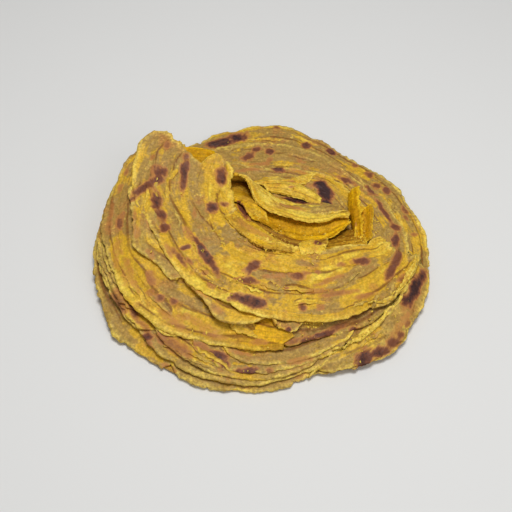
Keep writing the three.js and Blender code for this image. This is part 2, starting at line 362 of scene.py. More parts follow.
FLAT_MARKS = [
    (100, 0.68, 10, 6, -35, 0.85), (95, 0.74, 7, 4, -21, 0.85), (88, 0.72, 5, 6, 0, 0.9),
    (89, 0.64, 4, 4, 0, 0.5), (43, 0.7, 12, 4.5, -14, 0.8), (32, 0.79, 8, 5, 0, 0.8),
    (29, 0.79, 9, 4, -70, 0.55), (18, 0.78, 22, 2.9, -6, 0.85), (8, 0.82, 6, 6, -60, 0.85),
    (1.5, 0.803, 11, 4.4, 5, 0.9), (120, 0.74, 10, 5, 0, 0.6), (130, 0.7, 6, 5, 0, 0.5),
    (95, 0.6, 14, 3, 0, 0.45), (71, 0.66, 7, 3, 0, 0.4),
]
INNER_MARKS = [
    (85, 0.53, 9, 4.5, 9, 1.0), (51, 0.515, 8, 7, 10, 1.2), (42, 0.472, 10, 9, 30, 1.2),
    (46, 0.495, 9, 8, 20, 1.2), (35, 0.425, 9, 5.5, -10, 1.15), (105, 0.54, 20, 3, 10, 0.4),
    (70, 0.55, 14, 3, 0, 0.35), (60, 0.46, 14, 4, 0, 0.3),
]
SOLE_MARKS = [
    (20, 0.7, 30, 12, 10, 0.8), (60, 0.4, 22, 14, 40, 0.9), (100, 0.75, 26, 10, 0, 0.8),
    (140, 0.5, 18, 12, 20, 0.7), (185, 0.8, 30, 9, 5, 0.9), (215, 0.45, 24, 14, -30, 0.8),
    (250, 0.8, 28, 10, 0, 0.75), (290, 0.5, 20, 12, 15, 0.9), (330, 0.75, 24, 12, -10, 0.85),
    (10, 0.2, 20, 14, 60, 0.6), (240, 0.15, 12, 10, 0, 0.5), (310, 0.85, 14, 9, 0, 0.7),
]

# Broad patches, in the same measure: above 0 the dough is duller and more tan, below 0 more yellow.
# Some are the dough's own tan and yellow; others are painted shade, darkening the crest and the
# lower left wall, and painted light, brightening the middle and the right of the front.
TINTS_AND_PAINTED_LIGHT = [
    (172, 0.438, 38, 11, -8, 0.6), (188, 0.66, 30, 8, 8, 0.5), (150, 0.83, 22, 14, 0, 0.32),
    (224, 0.415, 18, 9, 20, 0.55), (155, 0.934, 20, 12, 0, 0.5), (180, 0.785, 40, 7, 0, 0.45),
    (220, 0.71, 16, 9, 0, 0.4), (237, 0.66, 18, 6, 0, 0.4), (207, 0.724, 20, 8, 0, 0.15),
    (327, 0.61, 24, 8, 10, 0.5), (274, 0.58, 16, 6, 0, 0.45), (334, 0.826, 26, 8, 0, 0.5),
    (294, 0.776, 44, 8, 0, 0.6), (248, 0.965, 44, 9, 0, 0.7), (100, 0.72, 50, 10, 0, 0.3),
    (139, 0.87, 26, 16, 0, 0.6), (112, 0.79, 26, 10, 0, 0.4), (196, 0.93, 40, 8, 0, 0.6),
    (252, 0.885, 24, 7, 0, 0.5), (286, 0.87, 26, 7, 0, 0.5), (176, 0.544, 22, 9, 0, 0.2),
    (159, 0.296, 22, 12, 0, -0.3), (237, 0.362, 24, 12, 0, -0.2), (242, 0.438, 22, 8, 0, -0.5),
    (209, 0.864, 22, 10, 0, -0.5), (221, 0.854, 20, 9, 0, -0.2), (300, 0.5, 26, 8, 0, -0.5),
    (265, 0.5, 20, 8, 0, -0.5), (228, 0.62, 18, 9, 0, -0.6), (246, 0.6, 20, 8, 0, -0.7),
    (262, 0.56, 22, 9, 0, -0.8), (288, 0.57, 22, 9, 0, -0.7), (233, 0.5, 24, 12, 0, -0.4),
    (214, 0.5, 18, 8, 0, -0.5), (318, 0.7, 22, 7, 0, -0.5), (343, 0.84, 18, 10, 0, -0.8),
    (232, 0.74, 16, 7, 0, -0.7), (314, 0.47, 22, 9, 0, -0.8), (329, 0.53, 20, 10, 0, -0.7),
    (345, 0.7, 16, 10, 0, -0.6), (62, 0.72, 56, 18, 0, 0.45), (33, 0.76, 44, 16, 0, 0.5),
    (8, 0.78, 40, 16, 0, 0.5), (330, 0.95, 40, 14, 0, 0.75), (212, 0.985, 50, 10, 0, 0.6),
    (181, 0.935, 50, 10, 0, 0.5), (38, 0.95, 60, 8, 0, 0.3), (218, 0.3, 20, 10, 0, 0.7),
    (152, 0.7, 20, 12, 0, 0.45), (141, 0.7, 18, 14, 0, 0.35), (129, 0.62, 14, 12, 0, 0.3),
    (160, 0.775, 18, 10, 0, 0.4), (207, 0.414, 20, 12, 0, 0.4), (89, 0.455, 34, 14, 0, 0.45),
    (325, 0.81, 24, 6, 0, 0.3), (130, 0.5, 16, 10, 0, 0.3), (212, 0.36, 22, 9, 0, 0.4),
    (197, 0.96, 44, 12, 0, 0.6), (283, 0.94, 40, 10, 0, 0.6), (275, 0.72, 20, 8, 0, -0.5),
    (303, 0.93, 36, 10, 0, 0.35), (192, 0.845, 24, 8, 0, -0.5), (253, 0.64, 26, 9, 0, -0.4),
]


def ovals(piece, rows):
    """How strongly each vertex lies in each of a list of ovals with uneven outlines."""
    count = len(piece.data.vertices)
    points = np.empty(count * 3)
    piece.data.vertices.foreach_get("co", points)
    x, y, z = points.reshape(-1, 3).T / MM
    uneven = rough(x / 3.4, y / 3.4, 31) * 0.42 + rough(x / 1.2, y / 1.2, 37) * 0.2
    found = [np.zeros(count)]
    for bearing, reach, length, width, lean, strength in rows:
        middle = place(bearing, reach, 0.0)
        turn = math.radians(bearing + 90 - lean)
        along = (x - middle[0]) * math.cos(turn) + (y - middle[1]) * math.sin(turn)
        across = (y - middle[1]) * math.cos(turn) - (x - middle[0]) * math.sin(turn)
        away = np.sqrt((along / (length * 0.55)) ** 2 + (across / (width * 0.55)) ** 2) + uneven
        found.append(strength * ramp(1.5, 0.45, away))
    return np.array(found), z


def scorch(piece, marks):
    """Toasts a piece in marks and shades it in broad patches, partly the dough's own tints and partly painted
    light and painted shade.
    """
    note(piece, "scorch", ovals(piece, marks)[0].max(axis=0))
    kept = piece.data.attributes["tone"].data
    tone = np.empty(len(kept))
    kept.foreach_get("value", tone)
    kept.foreach_set("value", (tone + ovals(piece, TINTS_AND_PAINTED_LIGHT)[0].sum(axis=0)).astype(np.float32))


# ----------
# Materials
# ----------
# The Mix node has sockets for each kind of data; these are the ones that it mixes colours with.
COLOUR_INPUTS = (0, 6, 7)
COLOUR_RESULT = 2


class Dough:
    """A node material for baked dough."""

    def __init__(self, name):
        self.material = bpy.data.materials.new(name)
        self.material.use_nodes = True
        self.tree = self.material.node_tree
        self.tree.nodes.clear()

    def node(self, kind, settings=None, **inputs):
        made = self.tree.nodes.new(kind)
        for key, value in (settings or {}).items():
            setattr(made, key, value)
        for key, value in inputs.items():
            self.feed(made.inputs[key.replace("_", " ")], value)
        return made

    def feed(self, socket, value):
        if isinstance(value, bpy.types.NodeSocket):
            self.tree.links.new(value, socket)
        else:
            socket.default_value = value

    def attribute(self, name):
        return self.node("ShaderNodeAttribute", {"attribute_name": name}).outputs["Fac"]

    def noise(self, vector, scale, detail=3.0, roughness=0.55, distortion=0.0):
        made = self.node("ShaderNodeTexNoise", Vector=vector, Scale=scale, Detail=detail,
                         Roughness=roughness, Distortion=distortion)
        return made.outputs["Fac"]

    def stretch(self, vector, scale, shift=(0.0, 0.0, 0.0)):
        return self.node("ShaderNodeMapping", Vector=vector, Scale=scale, Location=shift).outputs[0]

    def level(self, value, low, high, least=0.0, most=1.0):
        made = self.node("ShaderNodeMapRange", {"interpolation_type": "SMOOTHSTEP"}, Value=value,
                         From_Min=low, From_Max=high, To_Min=least, To_Max=most)
        return made.outputs["Result"]

    def sums(self, operation, a, b):
        made = self.node("ShaderNodeMath", {"operation": operation})
        for socket, value in zip(made.inputs, (a, b)):
            self.feed(socket, value)
        return made.outputs[0]

    def times(self, a, b):
        return self.sums("MULTIPLY", a, b)

    def plus(self, a, b):
        return self.sums("ADD", a, b)

    def swing(self, value, amount):
        """How far a noise strays from its middle, times an amount."""
        return self.times(self.sums("SUBTRACT", value, 0.5), amount)

    def mix(self, share, a, b, blend="MIX"):
        made = self.node("ShaderNodeMix", {"data_type": "RGBA", "blend_type": blend})
        for socket, value in zip(COLOUR_INPUTS, (share, a, b)):
            self.feed(made.inputs[socket], value)
        return made.outputs[COLOUR_RESULT]


def colour(red, green, blue):
    """A paint-chart colour, 0 to 255, as the light that it reflects."""
    light = [((level / 255 + 0.055) / 1.055) ** 2.4 if level > 10 else level / 3295
             for level in (red, green, blue)]
    return (*light, 1)


YELLOW = colour(218, 172, 38)
TAN = colour(174, 138, 66)
SPRING = colour(240, 206, 66)
GOLD = colour(232, 178, 8)
AMBER = colour(194, 140, 10)
# Painted shade for creases and the bottoms of folds; half of it also browns dark specks of grain.
SHADE_AND_SPECK_BROWN = colour(126, 76, 12)
TOAST = colour(190, 124, 62)
PALE = colour(244, 214, 96)
LEMON = colour(244, 198, 24)
BROWN = colour(116, 64, 42)
BURNT = colour(50, 28, 30)


def baked_dough(name, toasted=0.55):
    """Dough whose bands run from yellow to tan, toasted in patches and scorched in spots."""
    dough = Dough(name)
    grain = dough.node("ShaderNodeUVMap", {"uv_map": "UVMap"}).outputs[0]
    solid = dough.node("ShaderNodeTexCoord").outputs["Object"]
    streaks = dough.noise(dough.stretch(grain, (0.34, 1.9, 1.0)), 1.0, 3.0, 0.55, 0.3)
    fine_streaks = dough.noise(dough.stretch(grain, (0.9, 6.0, 1.0), (3.1, 1.7, 0.0)), 1.0, 3.0, 0.6, 0.3)
    regions = dough.noise(solid, 30.0, 2.0, 0.5, 0.2)
    patches = dough.noise(solid, 58.0, 3.0, 0.55, 0.3)
    blotches = dough.noise(solid, 150.0, 4.0, 0.6, 0.4)
    mottle = dough.noise(solid, 420.0, 4.0, 0.65)
    crumb = dough.noise(solid, 1400.0, 3.0, 0.6)
    grit = dough.noise(solid, 800.0, 3.0, 0.6)

    # Yellow, tan and golden dough.
    gold = dough.attribute("gold")
    plain = dough.sums("SUBTRACT", 1.0, gold)
    # tone holds the leaf's tint and the broad patches, some of them painted light and painted shade.
    shade = dough.attribute("tone")
    for noise, amount in ((streaks, 2.4), (blotches, 0.9), (regions, 1.5)):
        shade = dough.plus(shade, dough.swing(noise, amount))
    tint = dough.mix(dough.level(shade, 0.26, 0.68), YELLOW, TAN)
    tint = dough.mix(dough.level(shade, -0.15, -0.9), tint, SPRING)
    browned = dough.times(dough.level(patches, 0.46, 0.62), dough.level(blotches, 0.4, 0.62))
    tint = dough.mix(dough.times(browned, toasted), tint, TOAST)
    tint = dough.mix(dough.level(fine_streaks, 0.52, 0.74, 0.0, 0.32), tint, TAN)
    rich = dough.mix(dough.level(shade, 0.2, 0.9), GOLD, AMBER)
    tint = dough.mix(gold, tint, rich)
    # Pale, freshly torn dough and pale specks; painted shade in the creases and the bottoms of folds;
    # and a pale band along torn edges, partly torn dough and partly a painted highlight.
    fresh = dough.times(dough.level(mottle, 0.58, 0.7, 0.0, 0.6), dough.level(blotches, 0.45, 0.6))
    pale = dough.mix(dough.times(gold, 0.75), PALE, LEMON)
    plainly = dough.plus(0.3, dough.times(plain, 0.7))
    tint = dough.mix(dough.times(fresh, plainly), tint, pale)
    specks = dough.times(dough.level(crumb, 0.62, 0.7, 0.0, 0.75), dough.level(blotches, 0.5, 0.62))
    tint = dough.mix(dough.times(specks, plainly), tint, pale)
    # Painted shade: darkens the creases and the bottoms of folds where the fold value falls.
    tint = dough.mix(dough.level(dough.attribute("fold"), 0.75, 0.05, 0.0, 0.85), tint, SHADE_AND_SPECK_BROWN)
    # The torn value: pale torn dough, and along torn edges partly a painted highlight.
    torn = dough.times(dough.attribute("torn"), dough.level(mottle, 0.32, 0.56, 0.25, 1.0))
    tint = dough.mix(dough.times(torn, 0.8), tint, pale)
    # Grain.
    for noise, low, high, dark, light in ((mottle, 0.3, 0.7, (0.8, 0.8, 0.8, 1), (1.14, 1.14, 1.14, 1)),
                                          (grit, 0.32, 0.68, (0.84, 0.83, 0.8, 1), (1.12, 1.12, 1.12, 1))):
        tint = dough.mix(1.0, tint, dough.mix(dough.level(noise, low, high), dark, light), "MULTIPLY")
    # Dark specks of grain, in a brown mixed half from the crease shade colour.
    tint = dough.mix(dough.level(crumb, 0.66, 0.74, 0.0, 0.4), tint, dough.mix(0.5, SHADE_AND_SPECK_BROWN, BROWN))

    # Scorch marks.
    ragged = dough.swing(mottle, 0.6)
    marked = dough.attribute("scorch")
    depth = dough.times(dough.plus(marked, ragged), dough.level(marked, 0.02, 0.25))
    for low, high, most, burn in ((0.05, 0.45, 0.75, TOAST), (0.32, 0.82, 0.95, BROWN),
                                  (0.82, 1.12, 0.92, BURNT)):
        tint = dough.mix(dough.level(depth, low, high, 0.0, most), tint, burn)

    # The surface.
    gloss = dough.level(blotches, 0.3, 0.7, 0.42, 0.66)
    relief = dough.plus(dough.times(mottle, 0.6), dough.times(dough.plus(crumb, grit), 0.35))
    relief = dough.plus(relief, dough.times(fine_streaks, 0.9))
    bump = dough.node("ShaderNodeBump", Strength=0.6, Distance=0.0009, Height=relief)
    shader = dough.node("ShaderNodeBsdfPrincipled", Base_Color=tint, Roughness=gloss,
                        Normal=bump.outputs[0])
    dough.feed(shader.inputs["Specular IOR Level"], dough.level(gold, 0.0, 1.0, 0.3, 0.1))
    shader.inputs["Subsurface Weight"].default_value = 0.12
    shader.inputs["Subsurface Radius"].default_value = (1.0, 0.6, 0.12)
    shader.inputs["Subsurface Scale"].default_value = 0.002
    dough.node("ShaderNodeOutputMaterial", Surface=shader.outputs[0])
    return dough.material


CRUST = baked_dough("crust")
SOLE = baked_dough("sole", 0.9)


# ----------
# Leaves of dough
# ----------
# Millimetres: a leaf's thickness, the size and the height of the crumbs on its skin, and the distance
# between the vertices of long leaves, of loose leaves and of flakes.
LEAF_THICKNESS = 2.3
CRUMBLE_SIZE = 2.0
CRUMBLE_HEIGHT = 0.6
STEP = 0.85
LOOSE_STEP = 0.55
FLAKE_STEP = (0.7, 0.6)
# How many bearings a long leaf is measured at, and how many points a smooth line.
SURVEY = 60
FINE_STEPS = 200
# A loose leaf is drawn through this many lines, each of this many points.
LINES = 40
LINE_POINTS = 120


def fray(run, size, row, seed):
    """Unevenness along a line, with bumps of a size in millimetres."""
    return rough(run / size, row + 0 * run, seed)


def facing(points):
    """The outward direction at each vertex of a sheet."""
    along = np.gradient(points, axis=1)
    inward = np.gradient(points, axis=0)
    normal = np.cross(along, inward)
    return -normal / np.maximum(np.linalg.norm(normal, axis=-1, keepdims=True), 1e-9)


def bands(along, across, width, seed):
    """Pleats along the ring, each rising from the crease behind it and dropping off at its outer edge.
    Gives their height, the distance to the nearest crease in millimetres, how strongly each pleat
    shows, and its number."""
    place_across = across / width + 0.85 * rough(along / 58, across / 30, seed, 2)
    number = np.floor(place_across)
    share = place_across - number
    dome = 1 - (2 * share - 1) ** 2
    ledge = share * ramp(1.0, 0.86, share)
    strength = 0.15 + 0.85 * ramp(-0.5, 0.45, waver(along / 26 + number * 7.7, number * 3.1 + 0.4, seed + 13))
    return 0.55 * dome + 0.6 * ledge - 0.4, np.minimum(share, 1 - share) * width, strength, number


def shape_leaf(piece, base, along, across, free, seed, pleats=0.6, pleat_width=9.0, tone=0.6, gold=0.0,
               relief=1.0, creased=1.0, fresh=0.0, rim=0.0, deep=0.0, bright=1.0):
    """Pleats and roughens a leaf, and notes the values that colour it. free is the distance in
    millimetres to the nearest torn edge; pleats and relief are the heights of the pleats and of the
    roughness. tone runs from yellow to tan, gold makes the dough golden, and creased sets how much
    painted shade darkens its creases. fresh makes it pale where it is torn open and rim pales it
    along its torn edges, partly as paler torn dough and partly as a painted highlight, both scaled by
    bright; deep paints shade into it as at the bottom of a fold."""
    rise, gap, strength, number = bands(along, across, pleat_width, seed)
    small, small_gap, small_strength, _ = bands(along * 1.2 + 40, across, pleat_width * 0.38, seed + 11)
    crown = ramp(-0.5, 3.0, free)
    height = pleats * rise * strength * (0.3 + 0.7 * crown) + 0.36 * pleats * small * small_strength * crown
    height = height + relief * (0.9 * rough(along / 19, across / 10, seed + 17)
                                + 0.5 * rough(along / 4.4, across / 3.0, seed + 19))
    lay(piece, base + facing(base) * height[..., None])
    map_grain(piece, along + 37 * seed, across + 11 * seed)
    # The fold value carries painted shade: low in the creases between pleats, lower still where deep paints
    # the bottom of a fold.
    crease = 0.95 * strength * ramp(1.5, 0.25, gap) + 0.6 * small_strength * ramp(0.8, 0.1, small_gap)
    note(piece, "fold", (np.clip(1 - creased * crease, 0, 1) * crown + 1 - crown) * (1 - deep))
    shade = waver(along / 34 + number * 5.3, number * 2.7 + 0.3, seed + 31)
    shade = tone + 0.55 * shade + 0.15 * rough(along / 9, across / 5, seed + 33)
    note(piece, "tone", np.clip(shade, min(tone, 0.0), 1))
    note(piece, "gold", gold + 0 * along)
    # A pale band along torn edges: partly paler torn dough, partly a painted highlight on the edges; rim
    # makes it even all along.
    patchy = np.maximum(rim, 0.2 + 0.8 * ramp(-0.5, 0.3, rough(along / 12, across / 12, seed + 41, 2)))
    torn = patchy * ramp(2.6, 0.2, free + 1.1 * rough(along / 2.4, across / 2.4, seed + 29))
    torn = np.maximum(torn, fresh * ramp(-0.4, 0.5, rough(along / 8, across / 3, seed + 43)))
    note(piece, "torn", bright * torn)
    weigh(piece, "body", ramp(-0.8, 2.6, free))


def harden(piece, thickness, thin, marks, fine=1.0):
    """Gives a leaf its thickness, its crumbs and its scorch marks."""
    thicken(piece, thickness, thin)
    crumble(piece, CRUMBLE_SIZE * fine, CRUMBLE_HEIGHT * fine)
    apply_all(piece)
    scorch(piece, marks)
    finish_piece(piece, CRUST)


def dress(piece, base, along, across, free, seed, thickness=LEAF_THICKNESS, thin=0.45, marks=(), **look):
    """Shapes, hardens and colours a leaf."""
    shape_leaf(piece, base, along, across, free, seed, **look)
    harden(piece, thickness, thin, marks)


def to_tear(u, length, across, width, inner_too):
    """Distance in millimetres from each vertex of a leaf to its nearest torn edge."""
    free = np.minimum(width - across, np.minimum(u, 1 - u) * length)
    return np.minimum(free, across) if inner_too else free


def nicks(along, seed, every=16.0):
    """Small tears in an edge: how deep each one cuts in."""
    cell = np.floor(along / every)
    middle = (cell + 0.5 + 0.35 * waver(cell * 3.1, 0 * cell, seed)) * every
    size = waver(cell * 5.7 + 3, 0 * cell, seed + 1)
    return 1.3 * ramp(-0.2, 0.9, size) * np.clip(1 - np.abs(along - middle) / (1.6 + size ** 2), 0, 1)


def ring_leaf(name, start, end, outer, inner, seed, tear=1.0, end_tear=2.0, start_line=None, end_line=None,
              swell=0.0, lip=0.0, flutter=0.6, free_inner=False, gold=0.0, gold_from=None, taper=13.0,
              inner_tear=0.9, **look):
    """A leaf that lies along the ring from one bearing to another, from an inner edge that is tucked in
    to an outer edge that is torn. start_line and end_line shape its torn ends, as shares of the way
    from the inner edge to the outer one, each with a bearing; an end without one is rounded over taper
    millimetres. swell arches the leaf and lip lifts its outer edge. free_inner tears the inner edge
    too, and gold_from gives the bearings over which the dough turns golden."""
    survey = np.linspace(start, end, SURVEY)
    reach_out, reach_in = outer(survey)[0], inner(survey)[0]
    width = float(np.mean(reach_out - reach_in)) * ROUND_RADIUS
    mean_reach = float(np.mean(reach_out + reach_in)) / 2
    length = math.radians(end - start) * ROUND_RADIUS * mean_reach
    piece, u, v = rolled_sheet(name, max(8, int(length / STEP)), max(6, int(width / STEP)))
    first = np.interp(v, *zip(*start_line)) if start_line else start + 0 * v
    last = np.interp(v, *zip(*end_line)) if end_line else end + 0 * v
    across = v * width
    bearing = first + (last - first) * u
    per_mm = math.degrees(1 / (ROUND_RADIUS * mean_reach))
    along = (bearing - start) / per_mm
    torn_end = fray(across, 4, 7, seed + 3) + 0.5 * fray(across, 1.3, 3, seed + 5)
    bearing = bearing + end_tear * per_mm * torn_end * (u ** 12 - (1 - u) ** 12)
    far, high = outer(bearing)
    near, low = inner(bearing)
    ragged = (0.8 * fray(along, 21, seed, seed) + 0.7 * fray(along, 7, 9, seed + 7)
              + 0.4 * fray(along, 2.4, 5, seed + 8) - nicks(along, seed + 10))
    near_start = 0 * u if start_line else np.clip(1 - u * length / taper, 0, 1)
    near_end = 0 * u if end_line else np.clip(1 - (1 - u) * length / taper, 0, 1)
    out = v * (1 - 0.8 * (near_start ** 2.4 + near_end ** 2.4))
    reach = near + (far - near) * out + tear / ROUND_RADIUS * ragged * v ** 6
    if free_inner:
        bitten = fray(along, 7, 5, seed + 9) + 0.5 * fray(along, 2.2, 6, seed + 6)
        reach = reach + inner_tear / ROUND_RADIUS * bitten * (1 - v) ** 8
    height = low + (high - low) * out + swell * np.sin(np.pi * v)
    height = height + lip * v ** 5 + flutter * fray(along, 11, 2, seed + 21) * v ** 4
    free = to_tear(u, length, across, width, free_inner)
    if gold_from:
        gold = gold * ramp(*gold_from, bearing)
    dress(piece, place(bearing, reach, height), along, across, free, seed, gold=gold, **look)


def smooth_line(points, steps):
    """A smooth line through a few points, at equal steps of their number."""
    points = np.array(points, float)
    padded = np.concatenate([2 * points[:1] - points[1:2], points, 2 * points[-1:] - points[-2:-1]])
    at = np.linspace(0, len(points) - 1 - 1e-6, steps)
    k = at.astype(int)
    t = (at - k).reshape((-1,) + (1,) * (points.ndim - 1))
    a, b, c, d = padded[k], padded[k + 1], padded[k + 2], padded[k + 3]
    curve = 2 * b + (c - a) * t + (2 * a - 5 * b + 4 * c - d) * t * t
    return 0.5 * (curve + (3 * b - a - 3 * c + d) * t ** 3)


def even_line(points, steps):
    """A smooth line through a few points, at equal steps of its length."""
    line = smooth_line(points, FINE_STEPS)
    run = np.concatenate([[0], np.cumsum(np.linalg.norm(np.diff(line, axis=0), axis=1))])
    at = np.linspace(0, run[-1], steps)
    return np.stack([np.interp(at, run, line[:, k]) for k in range(3)], axis=-1), run[-1]


def loose_leaf(name, rails, seed, tear=1.0, rounded=0.35, free_root=False, gold=0.0, lip_gold=0.0,
               root_shade=(0.0, 1.0), thickness=1.2, pleat_width=4.0, **look):
    """A loose leaf through a few rails, from the root of the leaf to its torn lip. Each rail is a line
    of points in millimetres that runs the way of the coil. rounded cuts the corners of the lip; hollow
    gives how much shade is painted at the root, down in the fold, and the share of the leaf over which
    that fades."""
    lines, lengths = zip(*(even_line(rail, LINE_POINTS) for rail in rails))
    skin = smooth_line(np.array(lines), LINES)
    length = float(np.mean(lengths))
    width = float(np.mean(np.sum(np.linalg.norm(np.diff(skin, axis=0), axis=-1), axis=0)))
    piece, u, v = rolled_sheet(name, int(length / LOOSE_STEP), max(8, int(width / LOOSE_STEP)))
    along, across = u * length, v * width
    from_middle = 2 * u - 1
    ragged = (0.8 * fray(along, 9, seed, seed) + 0.9 * fray(along, 3.2, 9, seed + 7)
              + 0.6 * fray(along, 1.4, 3, seed + 8) - 0.6 * nicks(along, seed + 10, 7.0))
    lip = 1 - rounded * np.abs(from_middle) ** 6 + tear / width * ragged * v ** 3
    ends = fray(across, 6, 2, seed + 3) + 0.5 * fray(across, 2, 4, seed + 4)
    pulled = 1 - tear / length * (1.2 + ends * np.abs(from_middle) ** 5) - rounded * 0.12 * v ** 4
    row = np.clip(v * lip, 0, 1.1) * (LINES - 1)
    column = np.clip(0.5 + 0.5 * from_middle * pulled, 0, 1) * (LINE_POINTS - 1)
    if free_root:
        back = rounded * np.abs(from_middle) ** 6 + 0.7 * tear / width * fray(along, 3, 6, seed + 5)
        row = np.clip(row + (LINES - 1) * back * (1 - v) ** 3, 0, LINES + 2)
    i = np.clip(row.astype(int), 0, LINES - 2)
    j = np.clip(column.astype(int), 0, LINE_POINTS - 2)
    s, t = (row - i)[..., None], (column - j)[..., None]
    base = ((skin[i, j] * (1 - s) + skin[i + 1, j] * s) * (1 - t)
            + (skin[i, j + 1] * (1 - s) + skin[i + 1, j + 1] * s) * t)
    base[..., 2] += 0.7 * fray(along, 4, 8, seed + 12) * v ** 3
    free = to_tear(u, length, across, width, free_root)
    gold = np.maximum(gold, lip_gold * ramp(0.45, 0.7, v))
    # The root of the leaf gets painted shade, as the bottom of a fold would be in shade.
    dress(piece, base, along, across, free, seed, gold=gold, deep=root_shade[0] * ramp(root_shade[1], 0.0, v),
          thickness=thickness, pleat_width=pleat_width, **look)


def bake_flat_back():
    """The leaves of the back, which lies flat."""
    ring_leaf("rim_back", 296, 506, edge(BOTTOM_RIM), edge(OUTER_TURN, -0.05, -1.6), 2, tear=1.8, swell=1.2,
              pleats=0.7, tone=0.5, marks=RIM_MARKS)
    ring_leaf("flat_outer", 300, 504, edge(OUTER_TURN), edge(INNER_RING, -0.06, -1.4), 5, swell=0.4,
              pleats=0.8, tone=0.55, marks=FLAT_MARKS, flutter=0.3, lip=0.5)
    ring_leaf("flat_inner", 322, 512, edge(INNER_RING), edge(INNER_RING, -0.34, 0.0), 6, tear=1.2, swell=0.4,
              pleats=0.7, tone=0.5, marks=INNER_MARKS, flutter=0.5, lip=0.5)
    ring_leaf("eye_floor", 0, 359, edge([(0, 0.34, 13.4), (180, 0.36, 13.4)]), edge([(0, 0.03, 12.4)]), 7,
              tear=0.9, tone=0.4, gold=0.3, marks=INNER_MARKS, taper=0.01)


def low_rim(inset, height):
    """An edge near the floor, under the rim of the round."""
    def at(bearing):
        far = edge(BOTTOM_RIM)(bearing)[0]
        return far - inset, height + 0 * far
    return at


# Thin leaves pressed flat under the rim: a name, two bearings, how far in and how high each leaf's
# edge lies, the height of its root, its seed, tear, thickness, tone and flutter.
LOW_RIMS = [
    ("low_left", 112, 236, 0.014, 2.6, 3.4, 26, 1.4, 1.4, 0.5, 0.3),
    ("low_left_upper", 136, 214, 0.022, 4.9, 5.6, 27, 1.6, 1.3, 0.3, 0.5),
    ("low_right", 318, 468, 0.016, 2.4, 3.2, 28, 1.4, 1.3, 0.5, 0.3),
]


def bake_low_rims():
    """The leaves under the rim."""
    for name, start, end, inset, height, root, seed, tear, thickness, tone, flutter in LOW_RIMS:
        ring_leaf(name, start, end, low_rim(inset, height), low_rim(0.12, root), seed, tear=tear, tone=tone,
                  thickness=thickness, pleats=0.2, relief=0.4, flutter=flutter, marks=RIM_MARKS)


def tucked_root(bearing):
    """The inner edge of the middle leaf, which comes up under the torn end of the shoulder."""
    far, high = edge(SHOULDER, -0.09, -2.6)(bearing)
    lift = ramp(190, 205, bearing) * ramp(229, 215, bearing)
    return far + 0.035 * lift, high + 1.8 * lift


def fringe(*leaf, **look):
    """A pale, crumbly strip that is torn on both sides."""
    ring_leaf(*leaf, free_inner=True, pleats=0.3, tone=-0.4, fresh=1.0, rim=1.0, **look)


